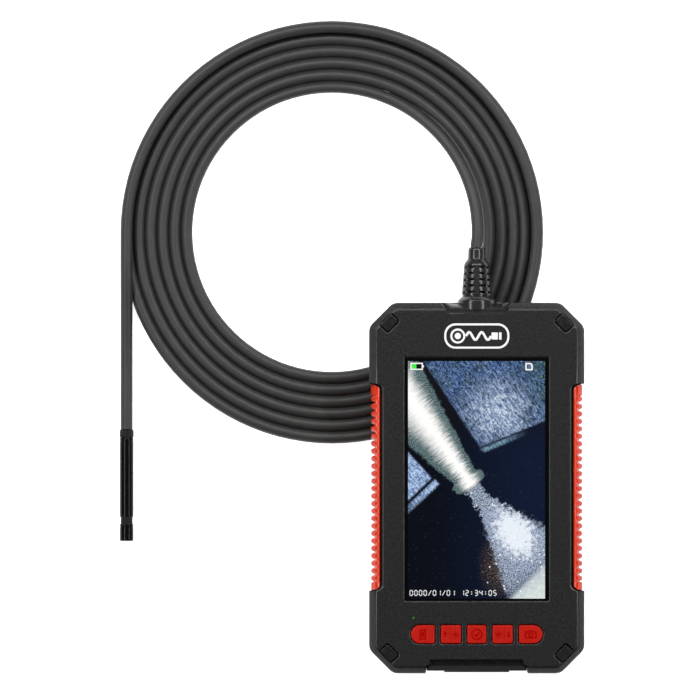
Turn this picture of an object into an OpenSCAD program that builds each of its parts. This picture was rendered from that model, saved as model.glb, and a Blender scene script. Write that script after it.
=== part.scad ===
// Handheld inspection camera: a handset with a 4.3 inch screen, a flexible
// lead wound into a flat coil, and a 5.5 mm camera head at the lead's end.
// Millimetres. The handset lies on its back with its screen up (+Z). The lead
// leaves towards +Y. The origin is the middle of the handset's base.

/* [Handset] */
// Width across the corner guards
body_w = 86.2; // [84:0.1:110]
// Length, without the strain relief
body_l = 148.4; // [146:0.1:180]
// Thickness from the back of the battery bulge to the face
body_h = 30; // [30:0.1:36]
// Leg of the 45 degree cut at each corner
corner_cut = 9.6; // [8:0.1:11]
// Radius at both ends of each corner cut
corner_r = 4.7; // [3:0.1:6]
// Wall of both shells
wall = 2.2; // [1.8:0.1:2.6]
// Width of the bevel round the face
rim_w = 2.7; // [2:0.1:3.2]
// Drop of the bevel round the face
rim_h = 2.6; // [1.5:0.1:3.5]
// Length of the flat under the battery bulge
bulge_l = 80; // [74:0.5:82]
// Taper of the bulge on each side
bulge_taper = 3.5; // [2:0.1:5]
// Gap between the head of the handset and two layers of lead under it
head_gap = 0.8; // [0.6:0.1:2]
// Height of the joint between the shells
part_z = 18; // [17.5:0.1:18.5]

/* [Grips] */
// Length of each side grip
grip_l = 82.2; // [60:0.1:90]
// Middle of the grips along the handset
grip_y = 0.3; // [-3:0.1:3]
// Width of a grip as the face shows it
grip_w = 3.7; // [3:0.1:4.5]
// How far the corner guards stand proud of the grips
guard_proud = 0.8; // [0.4:0.1:1.2]
// Number of teeth along a grip
grip_teeth = 26; // [18:1:30]
// Depth of the teeth
tooth_depth = 1.1; // [0.6:0.1:1.4]
// Lowest edge of the grips
grip_z = 12.6; // [12:0.1:14]

/* [Screen] */
// Width of the screen opening
window_w = 57.6; // [46:0.1:60]
// Length of the screen opening
window_l = 97.4; // [80:0.1:99]
// Middle of the screen along the handset
screen_y = 3.6; // [3:0.1:5]
// How far the window lies below the face
window_drop = 0.6; // [0.3:0.1:1]
// Thickness of the window
window_t = 1.2; // [0.8:0.1:1.4]
// Width of the display panel, with its border
panel_w = 67.2; // [65:0.1:68]
// Length of the display panel, with its border
panel_l = 105.5; // [103:0.1:106]
// Thickness of the display panel
panel_t = 3; // [2.5:0.1:3]

/* [Keys] */
// Length of a key along the handset
key_l = 7.4; // [6:0.1:8]
// Widths of the keys, from the middle one outwards
key_widths = [7.8, 8.2, 9.6];
// Gap between one key and the next
key_gap = 2.35; // [2.3:0.05:3]
// Middle of the keys, from the lower end
key_y_up = 15.7; // [15.4:0.1:16]
// How far the keys stand above the face
key_proud = 0.7; // [0.4:0.1:1]
// Travel of a key
key_travel = 0.8; // [0.4:0.1:0.9]
// Clearance round a key in its opening
key_clear = 0.2; // [0.1:0.05:0.3]

/* [Battery] */
// Diameter of the cell
cell_d = 18.5; // [14:0.1:18.5]
// Length of the cell
cell_l = 65; // [60:0.1:66]

/* [Fasteners] */
// Diameter of the case screws
screw_d = 2.9; // [2.5:0.1:3]
// Diameter of the case screws' heads
screw_head_d = 5.6; // [5:0.1:6]

/* [Port cover] */
// Width of the port cover
cover_w = 39.8; // [36:0.1:42]
// Thickness of the port cover
cover_t = 2.2; // [1.8:0.1:2.4]
// Diameter of its pivot pin
pin_d = 1.4; // [1.2:0.1:1.4]

/* [Lead] */
// Diameter of the lead
lead_d = 4.8; // [4:0.1:4.8]
// Passes of the lead, side by side, in the coil
coil_turns = 6; // [3:1:6]
// Radius of the innermost pass, to the middle of the lead
coil_r = 58.4; // [50:0.1:62]

/* [Camera head] */
// Diameter of the camera head
probe_d = 5.5; // [5:0.1:6]
// Length of the main barrel
barrel_l = 31.7; // [25:0.1:36]
// Length of the ribbed collar behind it
collar_l = 3.5; // [3:0.1:5]
// Length of the seal band in front of the barrel
seal_l = 3; // [2:0.1:4]
// Length of the front tip
tip_l = 6.7; // [6:0.1:8]
// Wall of the barrel
barrel_wall = 0.45; // [0.35:0.05:0.5]

/* [Hidden] */
$fn = 48;

// Clearance of parts that are laid or slid into place
fit = 0.1;
// Overlap that makes cuts pass right through a face
cut = 1;
// Room round a screw's thread in its boss
thread_fit = 0.03;
half_w = body_w / 2;
half_l = body_l / 2;
face_z = body_h;
inner_z = face_z - wall;
head_z = 2 * lead_d + head_gap;
floor_z = head_z + wall;
lead_z = part_z;

// Grips and the walls behind them
grip_out = half_w - guard_proud;
grip_in = grip_out - grip_w;
side_out = grip_in;
side_in = side_out - 2;
grip_y0 = grip_y - grip_l / 2;
grip_y1 = grip_y + grip_l / 2;
grip_top = face_z - 1.8;
// Depth of the waist under the teeth, so that nothing shows between them
waist_out = grip_out - tooth_depth - 0.5;

// Lower end: port cover, its recess and the wall behind it
recess_w = cover_w + 0.4;
cover_back = -half_l + 3.4;
port_wall = 3.1;
port_in = cover_back + port_wall;
port_block_w = recess_w + 2 * wall;
end_flare = 0.8;
pin_z = 14.2;
knuckle_r = cover_t / 2;
pin_y = cover_back - knuckle_r - fit;
pin_w = cover_w + 3.6;
recess_z = pin_z - knuckle_r - 0.3;
scoop_w = 37.4;
scoop_z = face_z - 3.2;
scoop_l = 2.4;

// Upper end: block that holds the strain relief
gland_w = 22;
gland_l = 5.4;
gland_y = half_l - gland_l;
bulb_r = 7.5;
bulb_l = 3.2;
neck_r = 5;
flange_r = 6.4;
flange_l = 2.2;
relief_l = 22.3;
relief_tip = half_l + relief_l;
slot_count = 5;
slot_pitch = 2.5;
slot_w = 1.1;
slot_y = half_l + 4.4;
slot_core_r = 3.1;
slot_web = 0.9;

// Clamp that holds the lead behind the strain relief
clamp_y = gland_y - flange_l - 3.4;
clamp_w = 18.4;
clamp_l = 5;
clamp_h = lead_d / 2 + 0.4;
clamp_screw_x = 6.5;
clamp_screw_l = 3.5;
clamp_post_r = 2.3;

// Pads in the corners of the face
pad = 5.2;
pad_r = 0.8;
pad_t = 0.9;
pad_shift = 0.6;
pocket_w = 6.6;
pocket_l = 6.8;
pocket_h = 2.5;
pad_reach = (corner_cut + 5.5) / 2;

// Stack under the screen
window_z = face_z - window_drop - window_t;
gasket_t = 0.5;
panel_z = window_z - gasket_t - panel_t;
frame_base = 1;
frame_wall = 1;
frame_z = panel_z - frame_base;
board_t = 1.6;
board_z = frame_z - 0.2 - board_t;
board_top = board_z + board_t;
frame_w = panel_w + 2 * fit + 2 * frame_wall;
frame_l = panel_l + 2 * fit + 2 * frame_wall;

// Keys
key_y = -half_l + key_y_up;
key_x1 = key_widths[0] / 2 + key_gap + key_widths[1] / 2;
key_x2 = key_x1 + key_widths[1] / 2 + key_gap + key_widths[2] / 2;
key_flange = 0.8;
key_flange_t = 1;
key_foot = inner_z - fit - key_flange_t;
mat_t = 0.7;
mat_top = key_foot - key_travel - fit;
mat_w = 2 * key_x2 + key_widths[2] + 1;
mat_l = key_l + 2 * key_flange;
switch_t = mat_top - mat_t - board_top;

// Screws
screw_x = half_w - 11.1;
screw_y_top = half_l - 12.2;
screw_y_low = -half_l + 9.2;
screw_points = [
    [screw_x, screw_y_top], [-screw_x, screw_y_top], [screw_x, screw_y_low], [-screw_x, screw_y_low]
];
screw_seat = part_z - 4.6;
screw_head_t = 2;
screw_tip = part_z + 7;
boss_r = screw_d / 2 + 1.95;
board_y1 = half_l - 11.8;
board_y0 = port_in + 0.6;
board_w = 2 * (side_in - 1.4);
board_points = [
    [24, board_y1 - 2.6], [-24, board_y1 - 2.6], [31.5, key_y + 2.5], [-31.5, key_y + 2.5]
];
board_screw_r = 1;
board_screw_l = 3.5;
board_boss_r = 2.3;

// Battery
cell_r = cell_d / 2;
cell_y = -30;
cradle_floor = 0.3;
cell_z = wall + cradle_floor + cell_r;
contact_t = 0.8;
cradle_w = cell_l + 2 * contact_t + 4.4;
cradle_l = cell_d + 3.4;
cradle_h = cell_r * 0.9;
bulge_inset = bulge_taper + wall;

// Parts on the board
port_z = board_z - 3.3;
usb_x = 9;
usb_w = 9;
card_x = -8;
card_w = 14;
card_h = 1.9;
socket_set = 0.5;
led_x = -25.3;
led_y = -51.9;
pipe_r = 0.45;
led_t = 0.9;

// Coil of the lead
coil_x = -58;
coil_y = half_l + 28.3;
coil_out = coil_r + (coil_turns - 0.5) * lead_d;
coil_in = coil_r - lead_d / 2;
last_r = coil_r + (coil_turns - 1) * lead_d;
// From the strain relief down onto the coil: angle round the coil, height
lead_route = [
    [0, 17.7], [8, 16.6], [16, 14.8], [24, 12.6], [32, 10.2], [40, 7.8], [48, 5.6], [56, 3.8], [64, 2.7], [72, 2.4]
];
// Down the straight tail: distance past the coil's middle, height
tail_route = [
    [0, 7.2], [8, 7.2], [15, 7], [22, 6.2], [28, 5.2], [34, 4.2], [42, 3.2], [50, 2.6], [60, 2.5], [70, 2.75], [79, 2.75]
];
tube_sides = 10;

// Camera head, measured along the tail from the end of the lead
probe_r = probe_d / 2;
probe_x = coil_x - last_r;
probe_y = coil_y - tail_route[len(tail_route) - 1][0];
probe_z = probe_r;
barrel_in = probe_r - barrel_wall;
tip_start = collar_l + barrel_l + seal_l;
spigot_r = barrel_in - 0.2;
bore_r = 0.9;
rim_in = probe_r - 0.4;
led_count = 6;

// Points of an arc about a centre, from one angle to another
function arc(centre, r, from, to, steps = 5) = [
    for (i = [0 : steps])
        let (a = from + (to - from) * i / steps)
            [centre[0] + r * cos(a), centre[1] + r * sin(a)]
];
function flipped(points, x, y) = [for (p = points) [p[0] * x, p[1] * y]];
function reversed(points) = [for (i = [len(points) - 1 : -1 : 0]) points[i]];

// One corner of the handset's outline, set in by a distance
function corner(inset) =
    let (
        w = half_w - inset,
        l = half_l - inset,
        leg = corner_cut - inset * (2 - sqrt(2)),
        r = max(corner_r - inset, 0.4),
        back = r * tan(22.5)
    )
    concat(
        arc([w - r, l - leg - back], r, 0, 45),
        arc([w - leg - back, l - r], r, 45, 90)
    );
function outline(inset) =
    let (q = corner(inset))
    concat(q, reversed(flipped(q, -1, 1)), flipped(q, -1, -1), reversed(flipped(q, 1, -1)));

// Inside of the handset, grown by a distance
module cavity(grow = 0) {
    difference() {
        polygon(outline(wall - grow));
        for (side = [-1, 1])
            translate([side * (side_in + grow + 10), grip_y])
                square([20, grip_l + 2 * wall - 2 * grow], center = true);
        translate([0, port_in - 10 - grow])
            square([port_block_w - 2 * grow, 20], center = true);
        translate([0, gland_y + 10 + grow])
            square([gland_w - 2 * grow, 20], center = true);
    }
}

// Channels that the grips sit in, and the waist under them
module grip_channels() {
    for (side = [-1, 1]) {
        translate([side * (side_out + 10), grip_y, grip_z - fit + 20])
            cube([20, grip_l + 2 * fit, 40], center = true);
        translate([side * (waist_out + 10), grip_y, grip_z])
            cube([20, grip_l + 2 * fit, 2 * grip_z + 2 * cut], center = true);
    }
}

// Solid turned about the lead's axis where it leaves the handset
module along_lead(y) {
    translate([0, y, lead_z])
        rotate([-90, 0, 0])
            children();
}

module relief_seat() {
    along_lead(gland_y - cut)
        cylinder(r = neck_r + fit, h = gland_l + 2 * cut);
    along_lead(gland_y - flange_l - fit)
        cylinder(r = flange_r + fit, h = flange_l + fit);
    along_lead(half_l - bulb_l)
        cylinder(r = bulb_r + fit, h = bulb_l + cut);
}

module port_recess() {
    translate([-recess_w / 2, -half_l - cut, recess_z])
        cube([recess_w, cover_back + half_l + cut, face_z]);
    // Step in the lower end, level with the cover
    end_y = pin_y - knuckle_r + fit;
    translate([0, 0, -cut])
        linear_extrude(face_z + 2 * cut)
            polygon([
                [-recess_w / 2 - end_flare, -half_l - cut], [recess_w / 2 + end_flare, -half_l - cut],
                [recess_w / 2, end_y], [-recess_w / 2, end_y]
            ]);
}

// Outline of a key, with a half-round outer end on the two outer keys
module key_outline(width, side, grow) {
    r = side == 0 ? 0.8 + grow : key_l / 2 + grow;
    w = width + 2 * grow;
    l = key_l + 2 * grow;
    if (side == 0) {
        square([w - 2 * r, l], center = true);
        square([w, l - 2 * r], center = true);
        for (x = [-1, 1], y = [-1, 1])
            translate([x * (w / 2 - r), y * (l / 2 - r)])
                circle(r = r);
    } else {
        translate([side * (w / 2 - r), 0])
            circle(r = r);
        translate([side * (-r / 2), 0])
            square([w - r, l], center = true);
    }
}

module key(x, width, side = 0) {
    color([0.73, 0.17, 0.14])
        translate([x, key_y, 0]) {
            translate([0, 0, key_foot])
                linear_extrude(face_z + key_proud - key_foot)
                    key_outline(width, side, 0);
            translate([0, 0, key_foot])
                linear_extrude(key_flange_t)
                    key_outline(width, side, key_flange);
        }
}

module key_openings() {
    sizes = [[0, 0, 0], [1, 1, 0], [-1, 1, 0], [1, 2, 1], [-1, 2, -1]];
    places = [0, key_x1, key_x2];
    for (s = sizes)
        translate([s[0] * places[s[1]], key_y, inner_z - cut])
            linear_extrude(wall + 2 * cut)
                key_outline(key_widths[s[1]], s[2], key_clear);
}

// Places of the corner pads, each turned towards its corner cut
module corner_places() {
    for (x = [-1, 1], y = [-1, 1])
        translate([x * (half_w - pad_reach), y * (half_l - pad_reach), 0])
            rotate([0, 0, atan2(y, x)])
                children();
}

module rounded_box(size, r) {
    linear_extrude(size[2]) {
        square([size[0] - 2 * r, size[1]], center = true);
        square([size[0], size[1] - 2 * r], center = true);
        for (x = [-1, 1], y = [-1, 1])
            translate([x * (size[0] / 2 - r), y * (size[1] / 2 - r)])
                circle(r = r);
    }
}

module front_shell() {
    color([0.19, 0.19, 0.2])
        difference() {
            union() {
                difference() {
                    hull() {
                        translate([0, 0, part_z])
                            linear_extrude(face_z - rim_h - part_z)
                                polygon(outline(0));
                        translate([0, 0, face_z - 0.01])
                            linear_extrude(0.01)
                                polygon(outline(rim_w));
                    }
                    translate([0, 0, part_z - cut])
                        linear_extrude(inner_z - part_z + cut)
                            cavity();
                }
                intersection() {
                    union() {
                        corner_places()
                            translate([0, 0, inner_z - 2.4])
                                rounded_box([9.4, 11, wall + 1], 1);
                        for (p = screw_points)
                            translate([p[0], p[1], part_z])
                                cylinder(r = boss_r, h = inner_z - part_z + fit);
                        for (p = board_points)
                            translate([p[0], p[1], board_top])
                                cylinder(r = board_boss_r, h = inner_z - board_top + fit);
                    }
                    translate([0, 0, part_z])
                        linear_extrude(inner_z - part_z + fit)
                            polygon(outline(wall / 2));
                }
            }
            translate([0, screen_y, inner_z - cut])
                rounded_box([window_w, window_l, wall + 2 * cut], 0.6);
            key_openings();
            translate([led_x, led_y, inner_z - cut])
                cylinder(r = pipe_r + 0.05, h = wall + 2 * cut);
            grip_channels();
            corner_places()
                translate([pad_shift, 0, face_z - pocket_h])
                    rounded_box([pocket_w, pocket_l, 2 * pocket_h], 1);
            // Notch that bares the strain relief
            translate([0, half_l - 4.5, 23.4])
                linear_extrude(10)
                    polygon([[-11.1, 0], [11.1, 0], [14.8, 5.8], [-14.8, 5.8]]);
            relief_seat();
            port_recess();
            // Finger scoop behind the port cover
            translate([0, cover_back, scoop_z])
                linear_extrude(5)
                    polygon([
                        [-scoop_w / 2, -cut], [scoop_w / 2, -cut],
                        [scoop_w / 2 - 0.9, scoop_l], [-scoop_w / 2 + 0.9, scoop_l]
                    ]);
            port_openings();
            for (p = screw_points)
                translate([p[0], p[1], part_z - cut])
                    cylinder(d = screw_d + 2 * thread_fit, h = screw_tip + 0.2 - part_z + cut);
            for (p = board_points)
                translate([p[0], p[1], board_top - cut])
                    cylinder(r = board_screw_r + thread_fit, h = board_screw_l + 0.2 + cut);
        }
}

module port_openings() {
    translate([usb_x - usb_w / 2 - 0.2, cover_back - cut, port_z - 0.1])
        cube([usb_w + 0.4, port_wall + 2 * cut, board_z - port_z + 0.1]);
    translate([card_x - card_w / 2 - 0.2, cover_back - cut, board_z - card_h - 0.1])
        cube([card_w + 0.4, port_wall + 2 * cut, card_h + 0.1]);
}

module rear_shell() {
    color([0.16, 0.16, 0.17])
        difference() {
            union() {
                difference() {
                    rear_skin();
                    translate([0, 0, floor_z])
                        linear_extrude(part_z)
                            cavity();
                    translate([0, 0, wall])
                        linear_extrude(part_z)
                            intersection() {
                                polygon(outline(bulge_inset));
                                translate([0, -half_l + bulge_l / 2])
                                    square([2 * body_w, bulge_l - 2 * wall], center = true);
                                cavity();
                            }
                }
                intersection() {
                    for (p = screw_points)
                        translate([p[0], p[1], wall / 2])
                            cylinder(r = boss_r, h = part_z - wall / 2);
                    rear_skin();
                }
                for (x = [-1, 1])
                    translate([x * clamp_screw_x, clamp_y, floor_z - 0.5])
                        cylinder(r = clamp_post_r, h = part_z - floor_z + 0.5);
                // Rib that the held end of the lead lies on
                translate([-3, clamp_y - clamp_l / 2, floor_z - 0.5])
                    cube([6, clamp_l, part_z - lead_d / 2 - floor_z + 0.5]);
                // Ribs on both sides of the battery cradle
                for (y = [-1, 1])
                    translate([-cradle_w / 2 + 4, cell_y + y * (cradle_l / 2 + 1.1) - 0.75, wall - 0.5])
                        cube([cradle_w - 8, 1.5, 5]);
            }
            grip_channels();
            relief_seat();
            port_recess();
            translate([0, 0, part_z - 1])
                gasket_ring(0.05, 1 + cut);
            along_x(pin_w)
                cylinder(d = pin_d, h = pin_w);
            for (p = screw_points) {
                translate([p[0], p[1], -cut])
                    cylinder(d = screw_d + 0.5, h = part_z + 2 * cut);
                translate([p[0], p[1], -cut])
                    cylinder(d = screw_head_d + 0.4, h = screw_seat + cut);
            }
            for (x = [-1, 1])
                translate([x * clamp_screw_x, clamp_y, part_z - clamp_screw_l - 0.5])
                    cylinder(r = board_screw_r + thread_fit, h = clamp_screw_l + 0.5 + cut);
        }
}

// Outside of the rear shell: a thin head, and a bulge on a ramp
module rear_skin() {
    hull() {
        translate([0, 0, head_z])
            linear_extrude(0.01)
                polygon(outline(2));
        translate([0, 0, head_z + 2])
            linear_extrude(part_z - head_z - 2)
                polygon(outline(0));
    }
    hull() {
        linear_extrude(0.01)
            intersection() {
                polygon(outline(bulge_taper));
                translate([0, -half_l + bulge_l / 2])
                    square([2 * body_w, bulge_l], center = true);
            }
        translate([0, 0, head_z + 1.4])
            linear_extrude(0.6)
                intersection() {
                    polygon(outline(0.6));
                    translate([0, -half_l + (bulge_l + head_z) / 2])
                        square([2 * body_w, bulge_l + head_z], center = true);
                }
    }
}

module gasket_ring(grow, height) {
    difference() {
        linear_extrude(height)
            difference() {
                cavity(1.5 + grow);
                cavity(0.6 - grow);
            }
        translate([0, 0, -part_z + 1])
            along_lead(gland_y - 3)
                cylinder(r = bulb_r + 0.6 - grow, h = 10);
    }
}

module shell_gasket() {
    color([0.08, 0.08, 0.08])
        translate([0, 0, part_z - 1])
            gasket_ring(0, 1);
}

// Solid turned about the port cover's pin, centred on the handset
module along_x(width) {
    translate([-width / 2, pin_y, pin_z])
        rotate([0, 90, 0])
            children();
}

// Side grip: a strip with teeth along its outer edge
module grip(side) {
    pitch = grip_l / grip_teeth;
    color([0.85, 0.21, 0.09])
        difference() {
            translate([0, 0, grip_z])
                linear_extrude(grip_top - grip_z)
                    difference() {
                        translate([side > 0 ? grip_in : -grip_out, grip_y0])
                            square([grip_w, grip_l]);
                        for (i = [0 : grip_teeth - 1])
                            translate([side * (grip_out + 0.35), grip_y0 + (i + 0.5) * pitch])
                                circle(r = tooth_depth + 0.2);
                    }
            // Bevel towards the face
            translate([side * (grip_in + 1.5), grip_y, grip_top])
                rotate([0, side * 48, 0])
                    translate([0, 0, 2])
                        cube([20, grip_l + 2 * cut, 4], center = true);
        }
}
module grip_left() { grip(-1); }
module grip_right() { grip(1); }

module corner_pads() {
    color([0.1, 0.1, 0.1])
        intersection() {
            corner_places()
                translate([pad_shift, 0, face_z - pocket_h])
                    rounded_box([pad, pad, pad_t], pad_r);
            linear_extrude(body_h)
                polygon(outline(0.4));
        }
}

module screen_window() {
    color([0.02, 0.02, 0.03])
        translate([0, screen_y, window_z])
            rounded_box([window_w - 2 * fit, window_l - 2 * fit, window_t], 0.5);
}

module window_gasket() {
    color([0.05, 0.05, 0.05])
        translate([0, screen_y, window_z - gasket_t])
            difference() {
                rounded_box([window_w - 2 * fit, window_l - 2 * fit, gasket_t], 0.5);
                translate([0, 0, -cut])
                    rounded_box([window_w - 2.4, window_l - 2, gasket_t + 2 * cut], 0.3);
            }
}

module display_panel() {
    color([0.1, 0.2, 0.4])
        translate([-panel_w / 2, screen_y - panel_l / 2, panel_z])
            cube([panel_w, panel_l, panel_t]);
}

module display_frame() {
    color([0.75, 0.76, 0.78])
        translate([0, screen_y, frame_z])
            difference() {
                rounded_box([frame_w, frame_l, frame_base + panel_t - 0.6], 0.6);
                translate([0, 0, frame_base])
                    rounded_box([frame_w - 2 * frame_wall, frame_l - 2 * frame_wall, panel_t + cut], 0.3);
                for (y = [-1, 1])
                    translate([0, y * panel_l / 4, -cut])
                        rounded_box([panel_w - 16, panel_l / 2 - 12, 3], 3);
            }
}

module front_badge() {
    color([0.92, 0.92, 0.92])
        translate([0, half_l - 13.35, face_z])
            difference() {
                rounded_box([26, 10.1, 0.12], 4.5);
                translate([0, 0, -cut])
                    rounded_box([24.4, 8.5, 3], 3.8);
            }
}

module main_board() {
    color([0.05, 0.3, 0.16])
        difference() {
            translate([-board_w / 2, board_y0, board_z])
                cube([board_w, board_y1 - board_y0, board_t]);
            for (p = screw_points)
                translate([p[0], p[1], board_z - cut])
                    cylinder(r = boss_r + 0.4, h = board_t + 2 * cut);
            for (p = board_points)
                translate([p[0], p[1], board_z - cut])
                    cylinder(r = board_screw_r + 0.1, h = board_t + 2 * cut);
        }
}

module board_screws() {
    color([0.7, 0.7, 0.72])
        for (p = board_points)
            translate([p[0], p[1], board_z]) {
                cylinder(r = board_screw_r, h = board_t + board_screw_l);
                translate([0, 0, -1.1])
                    cylinder(r = 1.9, h = 1.1);
            }
}

module key_switches() {
    color([0.2, 0.2, 0.22])
        for (x = [-key_x2, -key_x1, 0, key_x1, key_x2])
            translate([x - 2.2, key_y - 2.2, board_top])
                cube([4.4, 4.4, switch_t]);
}

module keypad_mat() {
    color([0.6, 0.6, 0.62])
        translate([-mat_w / 2, key_y - mat_l / 2, mat_top - mat_t])
            cube([mat_w, mat_l, mat_t]);
}

module key_menu() { key(-key_x2, key_widths[2], -1); }
module key_up() { key(-key_x1, key_widths[1]); }
module key_ok() { key(0, key_widths[0]); }
module key_down() { key(key_x1, key_widths[1]); }
module key_camera() { key(key_x2, key_widths[2], 1); }

module status_led() {
    color([0.2, 0.8, 0.3])
        translate([led_x - 0.8, led_y - 0.8, board_top])
            cube([1.6, 1.6, led_t]);
}

module light_pipe() {
    color([0.3, 0.9, 0.4])
        translate([led_x, led_y, board_top + led_t])
            cylinder(r = pipe_r, h = face_z + 0.1 - board_top - led_t);
}

module battery_cell() {
    color([0.15, 0.35, 0.65])
        translate([-cell_l / 2, cell_y, cell_z])
            rotate([0, 90, 0])
                cylinder(d = cell_d, h = cell_l);
}

module battery_cradle() {
    color([0.12, 0.12, 0.13])
        difference() {
            translate([-cradle_w / 2, cell_y - cradle_l / 2, wall])
                cube([cradle_w, cradle_l, cradle_h]);
            translate([-cell_l / 2 - contact_t - fit, cell_y, cell_z])
                rotate([0, 90, 0])
                    cylinder(d = cell_d + 2 * fit, h = cell_l + 2 * contact_t + 2 * fit);
        }
}

module battery_contacts() {
    color([0.8, 0.75, 0.55])
        for (side = [-1, 1])
            translate([side * (cell_l + contact_t) / 2 - contact_t / 2, cell_y - 3, cell_z - 6])
                cube([contact_t, 6, 11]);
}

module usb_port() {
    color([0.75, 0.75, 0.77])
        difference() {
            translate([usb_x - usb_w / 2, cover_back + socket_set, port_z])
                cube([usb_w, 7.4, board_z - port_z]);
            translate([usb_x - usb_w / 2 + 0.4, cover_back, port_z + 0.4])
                cube([usb_w - 0.8, 6, board_z - port_z - 0.8]);
        }
}

module card_slot() {
    color([0.7, 0.7, 0.72])
        difference() {
            translate([card_x - card_w / 2, cover_back + socket_set, board_z - card_h])
                cube([card_w, 15, card_h]);
            translate([card_x - 5.7, cover_back, board_z - card_h + 0.4])
                cube([11.4, 14.5, 1.1]);
        }
}

module memory_card() {
    color([0.05, 0.05, 0.06])
        translate([card_x - 5.5, cover_back + 0.2, board_z - card_h + 0.6])
            cube([11, 14, 0.8]);
}

module case_screws() {
    color([0.25, 0.25, 0.27])
        for (p = screw_points)
            translate([p[0], p[1], screw_seat]) {
                cylinder(d = screw_d, h = screw_tip - screw_seat);
                difference() {
                    translate([0, 0, -screw_head_t])
                        cylinder(d = screw_head_d, h = screw_head_t);
                    translate([0, 0, -screw_head_t - cut])
                        cylinder(d = 2.6, h = cut + 1.1, $fn = 6);
                }
            }
}

module port_cover() {
    top = face_z - 1.4;
    color([0.09, 0.09, 0.09])
        difference() {
            union() {
                translate([-cover_w / 2, pin_y - knuckle_r, pin_z])
                    cube([cover_w, cover_t, top - pin_z]);
                along_x(cover_w)
                    cylinder(r = knuckle_r, h = cover_w);
                // Plugs that close the sockets
                translate([usb_x - 3.6, pin_y, port_z + 0.9])
                    cube([7.2, knuckle_r + 0.9, board_z - port_z - 1.9]);
            }
            along_x(cover_w + 2 * cut)
                cylinder(d = pin_d + 0.1, h = cover_w + 2 * cut);
        }
}

module cover_pin() {
    color([0.7, 0.7, 0.72])
        along_x(pin_w - 0.1)
            cylinder(d = pin_d, h = pin_w - 0.1);
}

module lead_clamp() {
    color([0.3, 0.3, 0.32])
        difference() {
            translate([-clamp_w / 2, clamp_y - clamp_l / 2, part_z])
                cube([clamp_w, clamp_l, clamp_h]);
            along_lead(clamp_y - clamp_l / 2 - cut)
                cylinder(d = lead_d, h = clamp_l + 2 * cut);
            for (x = [-1, 1])
                translate([x * clamp_screw_x, clamp_y, part_z - cut])
                    cylinder(r = board_screw_r + fit, h = clamp_h + 2 * cut);
        }
}

module clamp_screws() {
    color([0.7, 0.7, 0.72])
        for (x = [-1, 1])
            translate([x * clamp_screw_x, clamp_y, part_z - clamp_screw_l]) {
                cylinder(r = board_screw_r, h = clamp_screw_l + clamp_h);
                translate([0, 0, clamp_screw_l + clamp_h])
                    cylinder(r = 1.8, h = 0.8);
            }
}

module lead_connector() {
    color([0.85, 0.83, 0.78])
        translate([-5, clamp_y - 13, part_z - 3])
            cube([10, 7, board_z - part_z + 3]);
}

module lead_entry() {
    color([0.13, 0.13, 0.13])
        along_lead(clamp_y - 6)
            cylinder(d = lead_d, h = relief_tip - clamp_y + 6);
}

module strain_relief() {
    color([0.14, 0.14, 0.14])
        difference() {
            along_lead(half_l)
                rotate_extrude()
                    polygon([
                        [lead_d / 2, -gland_l - flange_l], [flange_r, -gland_l - flange_l],
                        [flange_r, -gland_l - fit], [neck_r, -gland_l - fit],
                        [neck_r, -bulb_l + fit], [bulb_r - 0.8, -bulb_l + fit],
                        [bulb_r, -bulb_l + 0.9], [bulb_r, 1.1], [bulb_r - 1.5, 2.4],
                        [6.0, 2.8], [5.1, 15.4], [3.5, 17.4], [3.4, relief_l - 0.9], [2.9, relief_l], [lead_d / 2, relief_l]
                    ]);
            // Slots that let it bend, on both sides of a web
            for (i = [0 : slot_count - 1], side = [-1, 1])
                translate([side * (slot_web + 5), slot_y + i * slot_pitch, lead_z])
                    difference() {
                        cube([10, slot_w, 20], center = true);
                        translate([-side * (slot_web + 5), -2, 0])
                            rotate([-90, 0, 0])
                                cylinder(r = slot_core_r, h = 4);
                    }
        }
}

// Tube swept along a route, closed at both ends
function unit(v) = v / norm(v);
function ring_points(p, along, r) =
    let (side = unit(cross(along, [0, 0, 1])), up = cross(side, along))
    [for (i = [0 : tube_sides - 1])
        p + r * (cos(360 * i / tube_sides) * side + sin(360 * i / tube_sides) * up)];
module tube(route, r) {
    n = len(route);
    points = [
        for (i = [0 : n - 1])
            let (along = unit(route[min(i + 1, n - 1)] - route[max(i - 1, 0)]))
            each ring_points(route[i], along, r)
    ];
    sides = [
        for (i = [0 : n - 2], k = [0 : tube_sides - 1])
            let (a = i * tube_sides + k, b = i * tube_sides + (k + 1) % tube_sides)
            [a, a + tube_sides, b + tube_sides, b]
    ];
    start_cap = [[for (k = [0 : tube_sides - 1]) k]];
    end_cap = [[for (k = [tube_sides - 1 : -1 : 0]) (n - 1) * tube_sides + k]];
    polyhedron(points, concat(start_cap, sides, end_cap));
}

module cable_lead() {
    color([0.16, 0.16, 0.16])
        tube(
            concat(
                [[0, relief_tip, lead_z], [0, relief_tip + 1, lead_z]],
                [for (p = lead_route)
                    [coil_x + coil_r * cos(p[0]), coil_y + coil_r * sin(p[0]), p[1]]]
            ),
            lead_d / 2
        );
}

module cable_coil() {
    color([0.16, 0.16, 0.16])
        translate([coil_x, coil_y, 0]) {
            rotate_extrude()
                translate([coil_in, 0])
                    square([coil_out - coil_in, lead_d]);
            rotate([0, 0, -36])
                rotate_extrude(angle = 216)
                    translate([last_r - lead_d / 2 + fit, lead_d / 2])
                        square([lead_d - 2 * fit, 1.5 * lead_d]);
        }
}

module cable_tail() {
    color([0.16, 0.16, 0.16])
        tube([for (p = tail_route) [probe_x, coil_y - p[0], p[1]]], lead_d / 2);
}

// Solid turned about the camera head's axis, a distance along it
module along_probe(distance) {
    translate([probe_x, probe_y - distance, probe_z])
        rotate([90, 0, 0])
            children();
}

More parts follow.
